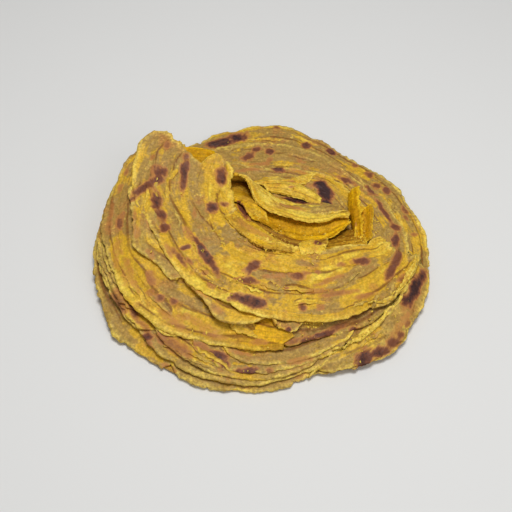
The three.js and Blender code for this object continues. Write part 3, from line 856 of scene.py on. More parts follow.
def bake_raised_front():
    """The leaves of the front, from the outermost and lowest to the top."""
    ring_leaf("rim_front", 237, 304, edge(BOTTOM_RIM, -0.004, -0.3), edge(OUTER_TURN, -0.06, -2.2), 3,
              tear=1.8, end_tear=3.0, tone=0.4, marks=RIM_MARKS)
    ring_leaf("rim_left", 131, 240, edge(BOTTOM_RIM), edge(OUTER_TURN, -0.06, -2.6), 4, tear=1.4,
              end_line=[(0, 243), (1, 238)], marks=RIM_MARKS)
    ring_leaf("outer_front", 133, 306, edge(OUTER_TURN), edge(MIDDLE_TURN, -0.07, -4.2), 8, swell=0.4,
              marks=OUTER_MARKS, pleats=0.7)
    ring_leaf("first_fold", 222, 296, edge(FIRST_FOLD), edge(FIRST_FOLD, -0.13, 1.5), 15, tear=0.8,
              tone=0.55, marks=OUTER_MARKS, swell=0.5)
    ring_leaf("second_fold", 239, 308, edge(SECOND_FOLD), edge(SECOND_FOLD, -0.1, 1.6), 16, tear=0.8,
              marks=FRONT_MARKS, swell=0.5)
    ring_leaf("third_fold", 250, 313, edge(THIRD_FOLD), edge(THIRD_FOLD, -0.1, 1.2), 17, tear=0.9, tone=0.4,
              marks=FRONT_MARKS, swell=0.3)
    outer, middle = edge(OUTER_TURN), edge(MIDDLE_TURN)
    outer_root, middle_root = edge(OUTER_TURN, -0.1, 0), edge(MIDDLE_TURN, -0.1, -1.6)
    for turn, (start, share) in enumerate(((136.5, 0.28), (134, 0.52), (137, 0.76))):
        ring_leaf(f"wall_{turn}", start, 228 - 9 * turn, between(outer, middle, share),
                  between(outer_root, middle_root, share), 20 + turn, tear=1.3, pleats=0.35,
                  tone=0.3 + 0.1 * turn, marks=OUTER_MARKS, flutter=0.9, thickness=2.2)
    ring_leaf("right_slope", 273, 354, edge(MIDDLE_TURN, -0.02), edge(TOP_TURN, -0.07, -1.8), 10, tear=0.7,
              marks=RIGHT_MARKS, pleats=0.45, pleat_width=3.2, flutter=0.2)
    ring_leaf("under_middle", 224, 241, edge(MIDDLE_TURN, 0.012, -1.5), edge(MIDDLE_TURN, -0.06, -0.5), 18,
              end_tear=1.5, tone=0.1, thickness=1.4, pleats=0.3)
    ring_leaf("middle", 134.5, 283, middle, tucked_root, 11, tear=1.3, swell=0.8,
              end_line=[(0, 286), (0.4, 282.5), (0.62, 283), (0.75, 279), (1, 278)], end_tear=1.2,
              tone=0.4, marks=MIDDLE_MARKS, pleats=0.9, gold=0.7, gold_from=(250, 264))
    ring_leaf("shoulder", 160, 222, edge(SHOULDER), edge(SHOULDER, -0.16, 0.4), 12, swell=0.6,
              end_line=[(0, 224), (0.6, 223), (1, 219)], end_tear=1.0, tone=0.25, marks=SHOULDER_MARKS,
              pleats=0.7, flutter=0.3, fresh=0.3, rim=0.5)
    ring_leaf("top_flap", 219, 274, edge(FLAP_EDGE), edge(TOP_TURN, -0.09, -2.0), 19, tear=0.9, end_tear=1.2,
              start_line=[(0, 218), (1, 223)], marks=FLAP_MARKS, pleats=0.4)
    ring_leaf("spotted_scrap", 272, 289, edge(SPOTTED_EDGE), edge(TOP_TURN, -0.04, -1.8), 24, tear=2.4,
              end_tear=1.4, tone=0.15, thickness=1.4, pleats=0.3, marks=[(281, 0.7, 3, 2.6, 0, 0.95)],
              fresh=0.3, taper=9.0)
    top_edge = edge([(110, 0.83, 44), (128, 0.83, 44.4)] + TOP_TURN[4:])
    top_start = [(0, 127.5), (0.1, 126.8), (0.22, 127), (0.3, 128.4), (0.345, 131), (0.37, 141),
                 (0.45, 141.4), (0.56, 140.6), (0.68, 139), (0.75, 137.8), (0.86, 136.8), (0.94, 137.2),
                 (1, 140)]
    top_end = [(0, 351.5), (0.2, 352), (0.38, 350), (0.6, 349.4), (0.84, 351.5), (1, 354.5)]
    ring_leaf("top", 138, 353, top_edge, edge(EYE_RIM), 13, tear=1.2, swell=2.4, pleats=1.35,
              pleat_width=10.5, tone=0.3, marks=TOP_MARKS, free_inner=True, end_tear=1.0, flutter=0.7,
              rim=0.4, start_line=top_start, end_line=top_end, inner_tear=1.8)
    ring_leaf("right_rim", 295, 353, edge(BOTTOM_RIM, 0.002, 1.0), edge(RIGHT_LIP), 14, tear=1.3, swell=0.8,
              free_inner=True, tone=0.3, marks=RIM_MARKS, end_tear=2.2, fresh=0.45, inner_tear=2.0,
              start_line=[(0, 297), (0.5, 294), (1, 288)], rim=0.9)
    fringe("seam_fringe", 299, 351, edge(RIGHT_LIP, 0.024, 1.0), edge(RIGHT_LIP, -0.006, 1.3), 29, tear=1.5,
           inner_tear=2.0, relief=1.3, thickness=1.2, swell=0.6)
    fringe("top_fringe", 321, 352, edge(TOP_TURN, 0.003, 0.9), edge(TOP_TURN, -0.034, 2.2), 30, tear=1.6,
           inner_tear=2.2, relief=1.2, thickness=1.1, swell=0.5)


def bake_crest_back():
    """The torn layers on the slope behind the crest."""
    loose_leaf("crest_back_low", [
        [(-73, 58, 22), (-61, 54, 25), (-49, 48, 24), (-38, 42, 23), (-27, 36, 21), (-14, 36, 17)],
        [(-73, 63, 17), (-60, 62, 17.4), (-48, 55, 18), (-38, 50, 16.4), (-27, 45, 16), (-12, 43, 14.4)],
        [(-72, 67, 13.4), (-58, 69, 13.4), (-47, 61, 14), (-36, 58, 12.8), (-25, 50, 13), (-9, 48, 12.6)],
    ], 44, tear=0.9, thickness=1.6, pleats=0.8, pleat_width=5.0, tone=0.55, fresh=0.2, rounded=0.25)
    loose_leaf("crest_back_middle", [
        [(-72, 54, 33), (-61, 51, 34), (-49, 45, 33), (-38, 39, 32), (-28, 34, 28)],
        [(-74, 58, 27), (-61, 57, 27), (-48, 51, 26), (-38, 46, 23.6), (-26, 41, 22)],
        [(-74, 62, 21), (-60, 63, 19.6), (-47, 56.4, 20.4), (-36, 54, 16.6), (-24, 47, 16)],
    ], 45, tear=0.9, thickness=1.6, pleats=0.8, pleat_width=5.0, tone=0.25, fresh=0.2, rounded=0.3)
    loose_leaf("crest_back_high", [
        [(-68, 53, 41), (-59, 50, 40.4), (-49, 44, 38), (-40, 38, 36)],
        [(-71, 57, 35), (-59, 55, 35), (-48, 49, 32.6), (-38, 43, 31)],
        [(-71, 60, 29.4), (-58, 59.6, 27.6), (-47, 53, 27.6), (-36, 46, 26)],
    ], 46, thickness=1.5, pleat_width=5.0, tone=0.45, fresh=0.2, rounded=0.3)


def open_eye():
    """The loose leaves in the eye of the coil."""
    loose_leaf("eye_back_leaf", [
        [(-7, 47, 12.6), (4, 51, 12.8), (14, 52, 12.8), (24, 52, 12.8), (36, 55, 12.6)],
        [(-6, 43, 14.2), (3, 45, 15.4), (12, 46, 15.8), (22, 46, 15), (33, 49, 12.6)],
        [(-5, 41, 13.6), (3, 42.6, 14.8), (12, 43, 15), (22, 43, 14), (32, 45, 12.2)],
    ], 38, pleats=0.25, pleat_width=5.0, tone=-0.35, creased=0.4, fresh=0.7,
        marks=[(72, 0.4, 6, 3, -20, 0.5)])
    loose_leaf("eye_yellow_leaf", [
        [(0, 43, 13), (8, 45.5, 14), (17, 46, 14.4), (26, 43.5, 14.2), (34, 38, 13.4), (39, 32, 13)],
        [(1, 40, 17), (8.6, 40.6, 18.8), (17, 39.6, 19.4), (25.5, 37.4, 19), (33, 33.6, 17.6),
         (38.4, 29.6, 15)],
        [(3, 36, 16.4), (10, 35.2, 18), (17.6, 33.2, 18.6), (25, 31, 18.2), (32, 28, 17), (38, 26, 14.2)],
        [(4, 34.8, 14.4), (11, 33.6, 15.8), (18, 31.4, 16.2), (25.4, 29.2, 16), (32, 26.6, 15),
         (38, 25, 12.8)],
    ], 34, thickness=1.1, pleats=0.5, tone=-0.8, gold=0.1, thin=0.8, creased=0.5, fresh=0.5, rounded=0.25,
        rim=0.8, relief=0.8, marks=[(70, 0.33, 5, 2, -20, 0.5)])
    loose_leaf("eye_striped_leaf", [
        [(-6, 41, 13), (6, 37, 13.6), (18, 35, 14), (32, 31, 14), (46, 28, 13), (56, 23, 13)],
        [(-2, 35, 18.6), (7, 30, 17.2), (17, 28, 16.4), (31, 26, 16.4), (45, 25, 16), (56, 20, 15)],
        [(2, 30, 22.6), (8.4, 22.4, 22.8), (17, 18.4, 22.6), (31, 17.4, 22.4), (45, 20, 21.2), (55, 18, 19)],
        [(2, 26.4, 23), (8, 18.6, 23.6), (17, 13, 23.2), (34, 11.6, 22.8), (47, 14.6, 21.8),
         (55, 14.6, 19.8)],
    ], 37, thickness=1.1, pleat_width=3.2, tone=0.75, creased=0.6, fresh=0.3,
        marks=[(62, 0.255, 22, 4.6, -24, 1.05), (60, 0.14, 18, 3.4, -8, 0.5), (75, 0.2, 16, 3, -20, 0.35)])
    loose_leaf("eye_long_leaf", [
        [(-26, 40, 19), (-17, 42, 18), (-7, 42, 16.6), (4, 35, 17), (15, 27, 18), (27, 23, 18.6),
         (41, 23, 18), (57, 20, 15)],
        [(-26, 37, 25), (-17, 39, 25.6), (-8, 38.6, 25), (2, 30, 23.4), (12, 20, 22.4), (24, 16, 22),
         (38, 16.4, 21.6), (56, 17, 18.4)],
        [(-25, 35, 28.4), (-17, 37, 30.4), (-8.6, 36, 30.4), (-3.2, 28.6, 28.2), (2.4, 19, 26),
         (14, 13, 24.8), (24, 10, 24.2), (36, 9.8, 24), (48, 13.6, 23), (56, 14.6, 21)],
        [(-25, 33.6, 29), (-17, 35.6, 31.6), (-9.6, 34, 31), (-6.2, 27, 29.8), (-1.8, 18, 28),
         (5.4, 12.6, 26.6), (12.6, 10.4, 26), (24, 6.8, 24.9), (36, 6.8, 24.4), (48, 10.4, 23.4),
         (55.4, 12.8, 21.4)],
        [(-25, 33, 28), (-17.2, 35, 30.6), (-10.2, 33.2, 30), (-7.2, 26.2, 28.6), (-2.6, 17.2, 26.8),
         (4.8, 11.6, 25.6), (12.6, 9.4, 25), (24, 5.8, 24), (36, 5.8, 23.4), (48, 9.4, 22.5),
         (56, 12.4, 20.8)],
    ], 31, tear=1.3, pleats=0.25, tone=-0.7, lip_gold=0.25, thin=0.9, creased=0.5, rounded=0.1, fresh=0.85,
        rim=1.0)
    loose_leaf("eye_lower_lip", [
        [(-1, 26, 20), (8, 19, 20.6), (17, 15, 20.4), (27, 12.4, 20.2), (38, 12.4, 20), (49, 15, 19),
         (56, 14, 18)],
        [(-3, 18, 24), (6, 13, 21), (15, 9.6, 19.8), (25, 6.2, 19.4), (36, 6, 19.2), (46, 9.6, 19),
         (55.6, 12.6, 18.4)],
        [(-5, 11, 26.4), (3, 8, 23.2), (12, 3.6, 20.2), (23, 0.6, 19.2), (33, 0.2, 19), (43, 4.2, 18.8),
         (55, 11.6, 18.8)],
        [(-6, 7, 27.6), (2, 4.6, 26), (9, 1.4, 23.8), (16, -1.6, 22.2), (24, -4, 21.4), (32, -4.6, 21),
         (40, -1.8, 20.8), (48, 3.6, 20.4), (55.6, 10.4, 20)],
        [(-6, 5.6, 27.6), (2, 3.2, 25.8), (9, 0.2, 23.6), (16, -3.2, 22), (24, -5.8, 21.2),
         (32, -6.4, 20.8), (40, -3.4, 20.5), (48, 2.4, 20), (56, 9.6, 19.6)],
        [(-6, 4.8, 26.8), (2, 2.4, 25), (9, -0.8, 22.8), (16, -4.4, 21.4), (24, -7, 20.6), (32, -7.6, 20.2),
         (40, -4.6, 19.8), (48, 1.4, 19.3), (56, 9, 18.9)],
    ], 32, tear=2.0, pleats=0.35, pleat_width=5.0, tone=0.75, gold=0.95, thin=0.9, creased=0.35, rounded=0.1,
        fresh=0.2, rim=1.0, root_shade=(0.1, 0.6))
    loose_leaf("eye_left_leaf", [
        [(-26, 41, 21), (-17, 42, 20), (-9, 41.6, 19), (-2, 35, 18.4), (5, 26, 17.6)],
        [(-25, 31, 21.6), (-16, 31, 22), (-10, 28.4, 22), (-3, 23.4, 21.4), (5, 17, 19.8)],
        [(-24, 22, 25.4), (-15.6, 22, 26.2), (-9, 20.6, 26.8), (-3, 16.8, 26.4), (4, 12.6, 23)],
        [(-20, 19, 27), (-13, 18, 28), (-8.4, 13, 27.8), (-2, 10.6, 26.6), (5, 8, 23)],
        [(-17, 18, 26.4), (-12.4, 16.4, 27.4), (-8.6, 10.8, 27.2), (-5, 5.6, 26.2), (0, 4, 24.8),
         (6, 3.4, 21.6)],
    ], 40, tear=0.9, thickness=1.1, pleats=0.3, tone=0.4, gold=0.7, thin=0.8, creased=0.3, rounded=0.0,
        fresh=0.4, rim=0.9, root_shade=(1.0, 0.8), marks=[(166, 0.204, 11, 2.4, -43, 0.92)])
    loose_leaf("eye_gap_floor", [
        [(-17, 21, 25), (-5, 9, 25), (3, 4.6, 23.6), (12, 1.6, 21.6), (20, -1.6, 20.8), (30, -2.6, 20.4),
         (40, 0, 20)],
        [(-19, 16, 26.2), (-7, 4, 25.6), (1, -1, 24.4), (10, -5.6, 23), (19, -9, 22.4), (30, -9, 22),
         (42, -6, 21.4)],
        [(-21, 12, 27), (-10, 0, 26.8), (-2, -6, 26), (8, -12, 25), (19, -16, 24.6), (31, -16, 24),
         (44, -13, 23)],
    ], 47, tear=0.8, pleats=0.4, tone=0.7, gold=0.6, creased=0.9, fresh=0.15, root_shade=(0.5, 3.0),
        marks=[(160, 0.2, 16, 5, -30, 0.7), (166, 0.204, 11, 2.4, -43, 0.92)])
    loose_leaf("eye_front_curl", [
        [(-16, 15, 22), (-10.4, 7, 21), (-2.6, 1.2, 20), (5, -5, 20), (13, -12, 20), (21, -14.6, 20)],
        [(-15.8, 12.8, 28), (-10.4, 5.2, 27.4), (-3, 0.6, 26.6), (5, -5.2, 26.2), (13, -12, 26.6),
         (21, -14.6, 27.4)],
        [(-17, 8, 30), (-11, 1, 30.2), (-4, -4, 30), (3.6, -9.8, 30), (12, -15.4, 30.2), (21, -18, 30.4)],
        [(-22, 3.4, 32.6), (-15.6, -4.6, 32.8), (-8.8, -11.4, 32.8), (-2, -17.6, 32.8), (5.6, -20.6, 32.8),
         (14, -21.8, 32.2), (22, -22, 31)],
        [(-22.6, 2.4, 31.4), (-16.2, -5.6, 31.6), (-9.6, -12.4, 31.6), (-2.8, -18.6, 31.6),
         (5.2, -21.8, 31.6), (14, -23, 31), (22, -23, 30)],
    ], 33, tear=2.2, thickness=1.3, pleats=0.5, pleat_width=5.0, tone=0.7, gold=0.45, lip_gold=0.6, thin=1.0,
        creased=0.4, rounded=0.1, fresh=0.45, rim=1.0,
        marks=[(330, 0.1, 20, 6, 0, 0.35), (236, 0.19, 26, 6, 0, 0.33), (200, 0.22, 14, 4, 0, 0.25)])
    loose_leaf("eye_right_floor", [
        [(32, 2, 15), (40, 3, 14.6), (47, 5, 14.4), (55, 8, 14.6), (64, 9, 15.6)],
        [(33, -5, 18), (40, -4, 17.6), (47, -2, 17.4), (55, 0, 17.6), (64, 1, 18.4)],
        [(35, -12, 22.4), (41, -11, 21.6), (48, -9, 21), (56, -8, 20.8), (65, -7, 21.4)],
        [(36, -19, 26.4), (42, -17, 25.8), (49, -16, 25), (57, -15, 24.6), (66, -14, 24.4)],
    ], 42, tear=0.8, pleats=0.5, tone=0.9, gold=0.8, creased=0.8, fresh=0.25, root_shade=(0.82, 1.0))
    loose_leaf("eye_scrap", [
        [(22, -13.6, 26.4), (28, -11, 26), (34, -11, 26), (39, -13, 26)],
        [(22, -15.6, 29), (28, -13.4, 28.8), (34, -13.4, 28.4), (39, -15.4, 27.8)],
        [(21.6, -18.4, 30.8), (28, -18, 30.6), (34, -17.8, 30), (40, -18.6, 28.8)],
        [(20, -21.8, 30.6), (26, -23, 30), (34, -22.4, 29.2), (40.6, -20.8, 28.4)],
    ], 36, tear=1.4, thickness=1.0, pleats=0.3, tone=-0.5, gold=0.3, free_root=True, thin=0.5, creased=0.4,
        rounded=0.4, fresh=0.5, marks=[(325, 0.32, 6, 4.2, 0, 0.9), (312, 0.34, 10, 4, 0, 0.22)])
    loose_leaf("eye_upright_left", [
        [(58, -3, 13), (57, 5, 14), (56, 13, 15), (55, 22, 16), (54.6, 34, 17)],
        [(59.6, -3, 17), (58.6, 5, 18.4), (57.6, 13, 19.8), (57, 22, 21.4), (56.6, 34, 23)],
        [(63, -2, 19.8), (62.6, 6, 21.8), (62.2, 14, 23.2), (61.6, 22, 24.6), (61, 34, 26)],
    ], 35, tear=1.6, thickness=1.1, pleats=0.3, tone=0.3, gold=1.0, thin=0.7, creased=0.3, rounded=0.15,
        relief=0.6, rim=0.5)
    loose_leaf("eye_upright_right", [
        [(57, -4, 17), (57.6, 6, 19), (58, 14, 20.4), (58.6, 22, 21)],
        [(60, -4, 17), (60.6, 6, 18.8), (61, 14, 20.2), (61.4, 22, 21)],
        [(63.4, -4, 16.6), (64, 6, 18), (64.2, 14, 19.2), (64.6, 22, 20)],
        [(66.2, -3, 18.4), (67, 6, 20), (67.4, 14, 21.4), (67.6, 23, 22.2)],
        [(68.4, -3, 16.4), (69.2, 6, 18), (69.6, 14, 19.4), (69.8, 23, 20.2)],
    ], 41, tear=1.5, thickness=1.1, pleats=0.4, pleat_width=3.4, tone=0.8, gold=0.95, free_root=True,
        thin=0.7, creased=0.4, relief=0.6, rounded=0.1, rim=0.6, marks=[(4, 0.49, 16, 4, 80, 0.45)])
    loose_leaf("notch_leaf", [
        [(-52, 36, 31), (-45, 33, 30), (-38, 32, 29.6), (-32, 33, 29), (-27, 35, 28)],
        [(-51, 42.5, 34.4), (-44.5, 42.5, 34), (-38, 42, 33.4), (-33, 42.6, 32.6), (-28.6, 44, 31.6)],
        [(-51, 48.6, 37.4), (-45, 49, 37.6), (-38, 49, 37), (-32.4, 48.8, 36), (-28.6, 49, 34.4)],
        [(-52, 50.4, 35.6), (-45, 51, 35.8), (-38, 50.6, 35), (-32, 49.6, 34), (-27.6, 49.4, 32.4)],
        [(-54, 54, 30), (-46, 54, 29.4), (-38, 52.4, 28), (-31, 49.6, 27), (-25, 47.6, 26)],
    ], 39, pleats=0.5, pleat_width=5.0, tone=-0.1, gold=1.0, creased=0.4, relief=0.6, rim=0.25,
        root_shade=(0.8, 0.75))


# Flakes that peel off the leaf under them, each the bearing and reach of its two ends and a width.
FLAKES = [
    (261, 0.47, 280, 0.512, 5), (277, 0.505, 298, 0.553, 6), (234, 0.9, 258, 0.912, 6),
    (241, 0.833, 262, 0.895, 5), (163, 0.63, 174, 0.6, 6), (178, 0.56, 196, 0.53, 6),
    (222, 0.55, 238, 0.545, 7), (283, 0.585, 300, 0.63, 7), (203, 0.86, 222, 0.845, 6),
    (150, 0.79, 160, 0.775, 6), (142, 0.62, 152, 0.6, 6), (50, 0.82, 33, 0.785, 5), (28, 0.87, 2, 0.9, 6),
    (312, 0.72, 322, 0.755, 6), (306, 0.9, 322, 0.93, 7), (92, 0.8, 112, 0.78, 8),
    (60, 0.72, 84, 0.7, 7), (28, 0.7, 48, 0.7, 6), (98, 0.9, 118, 0.88, 7), (64, 0.92, 80, 0.95, 6),
    (112, 0.66, 126, 0.66, 6), (70, 0.5, 92, 0.48, 5), (252, 0.52, 268, 0.53, 6),
    (205, 0.5, 216, 0.5, 6), (318, 0.6, 330, 0.64, 6), (255, 0.72, 270, 0.725, 6),
    (215, 0.8, 230, 0.79, 7), (188, 0.68, 197, 0.66, 6),
]

# Crumbs, each cluster a bearing, a reach, a spread in millimetres and a count.
CRUMBS = [
    (249, 0.5, 7, 30), (291, 0.7, 6, 26), (303, 0.94, 6, 14), (290, 0.1, 6, 20), (313, 0.35, 9, 34),
    (357, 0.57, 7, 24), (8, 0.7, 7, 18), (239, 0.59, 5, 10), (215, 0.48, 6, 10), (265, 0.91, 10, 16),
    (241, 0.83, 9, 12), (279, 0.51, 8, 18), (170, 0.53, 6, 10), (150, 0.4, 6, 10), (190, 0.25, 6, 16),
    (230, 0.25, 6, 18), (262, 0.27, 7, 24), (60, 0.4, 9, 12), (310, 0.6, 9, 12), (330, 0.85, 8, 12),
    (352, 0.5, 7, 26), (322, 0.87, 8, 36), (332, 0.88, 7, 32), (312, 0.855, 8, 30), (341, 0.89, 6, 24),
    (180, 0.14, 6, 20), (240, 0.12, 7, 22), (280, 0.16, 8, 22), (330, 0.22, 8, 18), (220, 0.36, 5, 14),
]

# How many flakes there are with those strewn at random, which need ground level to this many millimetres.
FLAKE_COUNT = 42
FLAKE_DROP = 4
FLAKE_SEED = 200
# Crumbs strewn singly, the steepest drop within a millimetre that holds one, and the lowest ground.
STRAY_CRUMBS = 70
CRUMB_DROP = 2.2
LOWEST_CRUMB = 2
# Rays that find the ground start this high, in metres, and go straight down.
RAY_HEIGHT = 0.1
DOWN = Vector((0, 0, -1))


def ground():
    """Everything baked so far, as one surface to lay flakes and crumbs on."""
    corners, faces = [], []
    for piece in [thing for thing in bpy.data.objects if thing.type == "MESH"]:
        start = len(corners)
        corners.extend(vertex.co[:] for vertex in piece.data.vertices)
        faces.extend([start + corner for corner in face.vertices] for face in piece.data.polygons)
    return BVHTree.FromPolygons(corners, faces)


def height_under(surface, x, y):
    """Height of the surface at each place, in millimetres."""
    def drop(east, north):
        hit = surface.ray_cast(Vector((east * MM, north * MM, RAY_HEIGHT)), DOWN)[0]
        return hit.z / MM if hit else 0.0
    return np.vectorize(drop, otypes=[float])(x, y)


def peel(surface, seed, start, start_reach, end, end_reach, width):
    """A thin flake, tucked in along its inner edge and lifted along its outer one."""
    ends = place(np.array([start, end]), np.array([start_reach, end_reach]), 0.0)
    if (end - start) % 360 > 180:
        start, end, start_reach, end_reach = end, start, end_reach, start_reach
    end = start + (end - start) % 360
    length = float(np.linalg.norm(ends[1] - ends[0]))
    columns, rows = int(length / FLAKE_STEP[0]), int(width / FLAKE_STEP[1])
    piece, u, v = rolled_sheet("flake", max(8, columns), max(6, rows))
    along, across = u * length, v * width
    spread = width / ROUND_RADIUS * (0.25 + 0.75 * np.sin(np.pi * u) ** 0.6)
    ragged = fray(along, 7, seed, seed) + 0.8 * fray(along, 2.4, 4, seed + 1)
    reach = start_reach + (end_reach - start_reach) * u - (1 - v) * spread + 0.011 * ragged * v
    spot = place(start + (end - start) * u, reach, 0.0)
    under = height_under(surface, spot[..., 0], spot[..., 1])
    smooth = under.copy()
    for _ in range(4):
        padded = np.pad(smooth, 1, mode="edge")
        smooth = (padded[:-2, 1:-1] + padded[2:, 1:-1] + padded[1:-1, :-2] + padded[1:-1, 2:]) / 4
    lift = 1.1 * v + 0.7 * v ** 3 * ramp(-0.6, 0.8, fray(along, 9, 2, seed + 2))
    spot[..., 2] = np.maximum(smooth, under - 0.4) - 1.0 + (lift + 0.5) * np.sin(np.pi * u) ** 0.5
    free = to_tear(u, length, across, width, False)
    shape_leaf(piece, spot, along, across, free, seed, pleats=0.15, pleat_width=3.0, tone=0.4, relief=0.25,
               fresh=0.3, bright=0.5)
    return piece


def drape_flakes():
    """The flakes, as one piece."""
    surface = ground()
    chance = np.random.default_rng(12)
    rows = list(FLAKES)
    while len(rows) < FLAKE_COUNT:
        start, reach = chance.uniform(0, 360), chance.uniform(0.56, 0.9)
        turn = math.degrees(chance.uniform(9, 22) / (ROUND_RADIUS * reach))
        line = place(np.linspace(start, start + turn, 9), np.linspace(reach - 0.04, reach, 9)[:, None], 0.0)
        if np.ptp(height_under(surface, line[..., 0], line[..., 1])) < FLAKE_DROP:
            end_reach = reach + chance.uniform(-0.01, 0.01)
            rows.append((start, reach, start + turn, end_reach, chance.uniform(3, 6)))
    flakes = [peel(surface, FLAKE_SEED + 3 * number, *row) for number, row in enumerate(rows)]
    only(*flakes)
    bpy.ops.object.join()
    flakes[0].name = "flakes"
    harden(flakes[0], 0.9, 0.5, TOP_MARKS + MIDDLE_MARKS + OUTER_MARKS + RIM_MARKS + FLAT_MARKS, fine=0.7)


def scatter_crumbs():
    """The loose crumbs, as one piece."""
    surface = ground()
    chance = np.random.default_rng(8)
    spots = []
    for bearing, reach, spread, count in CRUMBS:
        middle = place(bearing, reach, 0.0)[:2]
        spots.extend(middle + chance.normal(0, spread / 2, 2) for _ in range(count))
    for _ in range(STRAY_CRUMBS):
        spots.append(place(chance.uniform(0, 360), chance.uniform(0.3, 0.93), 0.0)[:2])
    crumbs = None
    for x, y in spots:
        radius = 0.3 + 0.8 * chance.random() ** 3
        around = height_under(surface, x + np.array([0, 1, -1, 0, 0]), y + np.array([0, 0, 0, 1, -1]))
        if np.ptp(around) > CRUMB_DROP or around[0] < LOWEST_CRUMB:
            continue
        z = float(around[0]) + 0.1 * radius
        bpy.ops.mesh.primitive_ico_sphere_add(subdivisions=1, radius=radius * MM,
                                              location=(x * MM, y * MM, z * MM),
                                              rotation=tuple(chance.uniform(0, 3, 3)), scale=(1.2, 0.7, 0.5))
        if not crumbs:
            crumbs = bpy.context.object
            crumbs.name = "crumbs"
            bpy.ops.object.mode_set(mode="EDIT")
    bpy.ops.object.mode_set(mode="OBJECT")
    only(crumbs)
    bpy.ops.object.transform_apply(location=True, rotation=True, scale=True)
    crumble(crumbs, 0.6, 0.5)
    apply_all(crumbs)
    note_plain(crumbs, fold=1.0, torn=1.0, gold=0.3, tone=0.0)
    scorch(crumbs, ())
    finish_piece(crumbs, CRUST)


# ----------
# The body under the leaves
# ----------
def low_behind_crest(row):
    """Drops an edge of the core to the flat back behind the crest."""
    def at(bearing):
        far, high = row(bearing)
        turned = np.asarray(bearing) % 360
        lifted = ramp(131, 141, turned) * ramp(353.4, 347.4, turned)
        return far, np.minimum(high, EYE_FLOOR - 2.2 + (high - EYE_FLOOR + 2.2) * lifted)
    return at


# Columns of vertices round the core, rows between one of its edges and the next, the distance in metres
# within which its ends are sewn together, and the height in millimetres of the dough under the eye.
CORE_COLUMNS = 480
CORE_ROWS = 5
SEAM = 1e-6
CORE_EYE = EYE_FLOOR - 1.4


def bake_core():
    """The pressed dough that the leaves lie on: one closed body with a flat underside."""
    under = [lambda b: (0 * b, 0 * b), low_rim(0.05, 0.0), low_rim(0.022, 0.9), low_rim(0.014, 1.9),
             edge(BOTTOM_RIM, -0.04, -2.2)]
    over = []
    for turn in (OUTER_TURN, MIDDLE_TURN, TOP_TURN):
        over.append(edge(turn, -0.045, -4.8))
        over.append(edge(turn, -0.06, -3.4))
    over.append(between(edge(TOP_TURN, 0, -1.6), edge(EYE_RIM, 0, -1.6), 0.5))
    over.append(edge(EYE_RIM, 0.06, -3.2))
    over.append(lambda b: (edge(EYE_RIM)(b)[0] + 0.012, CORE_EYE + 0 * b))
    pole = lambda b: (0 * b, CORE_EYE + 0 * b)
    rows = under + [low_behind_crest(row) for row in over] + [pole]
    steps = len(rows) - 1
    piece, u, v = rolled_sheet("core", CORE_COLUMNS, CORE_ROWS * steps)
    bearing = 360 * u
    table = np.array([row(bearing[0]) for row in rows])
    at = np.clip(v * steps, 0, steps - 1e-6)
    k, share = at.astype(int), at - at.astype(int)
    column = np.broadcast_to(np.arange(u.shape[1]), u.shape)
    reach = table[k, 0, column] * (1 - share) + table[k + 1, 0, column] * share
    height = table[k, 1, column] * (1 - share) + table[k + 1, 1, column] * share
    lay(piece, place(bearing, reach, height))
    map_grain(piece, np.radians(bearing) * ROUND_RADIUS, reach * ROUND_RADIUS + height)
    note_plain(piece, fold=0.8, torn=0.0, gold=0.2, tone=0.5)
    only(piece)
    bpy.ops.object.mode_set(mode="EDIT")
    bpy.ops.mesh.select_all(action="SELECT")
    bpy.ops.mesh.remove_doubles(threshold=SEAM)
    bpy.ops.mesh.normals_make_consistent(inside=False)
    bpy.ops.object.mode_set(mode="OBJECT")
    depth, z = ovals(piece, SOLE_MARKS)
    note(piece, "scorch", depth.max(axis=0) * ramp(3.0, 1.0, z))
    finish_piece(piece, SOLE)


# ----------
# Stage
# ----------
CAMERA_ELEVATION = math.radians(54)
CAMERA_ROLL = math.radians(1.3)
CAMERA_DISTANCE = 0.5
CAMERA_TARGET = Vector((-0.002, -0.0035, 0.0))
LENS = 56.8
FLOOR_SIZE = 6
FLOOR_COLOUR = (0.74, 0.74, 0.73, 1)
SKY_COLOUR = (1.0, 0.99, 0.97, 1)
SKY_STRENGTH = 0.27
# Lights: a name, a place, a size in metres and a power in watts.
LIGHTS = [("key", (0.03, -0.02, 0.93), 0.32, 5.7), ("fill", (0.45, -0.6, 0.7), 0.8, 1.5)]


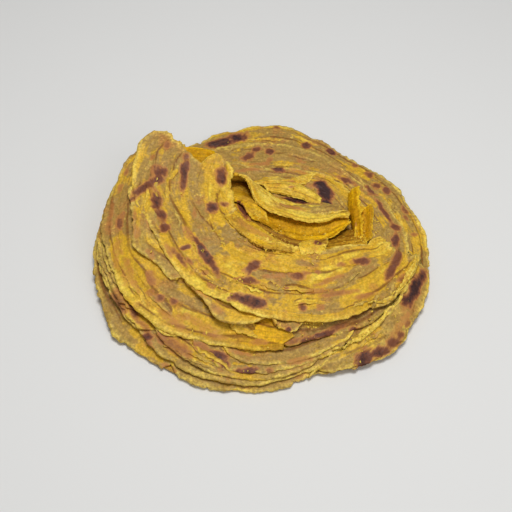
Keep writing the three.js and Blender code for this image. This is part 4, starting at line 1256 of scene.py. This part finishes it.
def set_camera():
    """The main view."""
    away = Vector((0, -math.cos(CAMERA_ELEVATION), math.sin(CAMERA_ELEVATION)))
    right = Vector((1, 0, 0))
    up = Vector((0, math.sin(CAMERA_ELEVATION), math.cos(CAMERA_ELEVATION)))
    local_x = right * math.cos(CAMERA_ROLL) + up * math.sin(CAMERA_ROLL)
    local_y = up * math.cos(CAMERA_ROLL) - right * math.sin(CAMERA_ROLL)
    lens = bpy.data.cameras.new("camera")
    lens.lens = LENS
    lens.clip_start = 0.01
    camera = bpy.data.objects.new("camera", lens)
    bpy.context.scene.collection.objects.link(camera)
    turn = Matrix((local_x, local_y, away)).transposed().to_4x4()
    camera.matrix_world = Matrix.Translation(CAMERA_TARGET + away * CAMERA_DISTANCE) @ turn
    bpy.context.scene.camera = camera


def soft_light(name, place_at, size, power):
    """A round light that looks at the middle of the scene."""
    lamp = bpy.data.lights.new(name, "AREA")
    lamp.shape = "DISK"
    lamp.size = size
    lamp.energy = power
    holder = bpy.data.objects.new(name, lamp)
    holder.location = place_at
    holder.rotation_euler = (-Vector(place_at)).to_track_quat("-Z", "Y").to_euler()
    bpy.context.scene.collection.objects.link(holder)


def set_stage():
    """The floor and the light, which aren't part of the bread."""
    bpy.ops.mesh.primitive_plane_add(size=FLOOR_SIZE, location=(0, 0, 0))
    floor = bpy.context.object
    floor.name = "floor"
    pale = bpy.data.materials.new("pale_floor")
    pale.use_nodes = True
    shader = pale.node_tree.nodes["Principled BSDF"]
    shader.inputs["Base Color"].default_value = FLOOR_COLOUR
    shader.inputs["Roughness"].default_value = 0.9
    floor.data.materials.append(pale)
    world = bpy.data.worlds.new("studio")
    world.use_nodes = True
    sky = world.node_tree.nodes["Background"]
    sky.inputs[0].default_value = SKY_COLOUR
    sky.inputs[1].default_value = SKY_STRENGTH
    bpy.context.scene.world = world
    for light in LIGHTS:
        soft_light(*light)
    bpy.context.scene.view_settings.view_transform = "Standard"


bake_core()
bake_flat_back()
bake_low_rims()
bake_raised_front()
bake_crest_back()
open_eye()
drape_flakes()
scatter_crumbs()
set_stage()
set_camera()
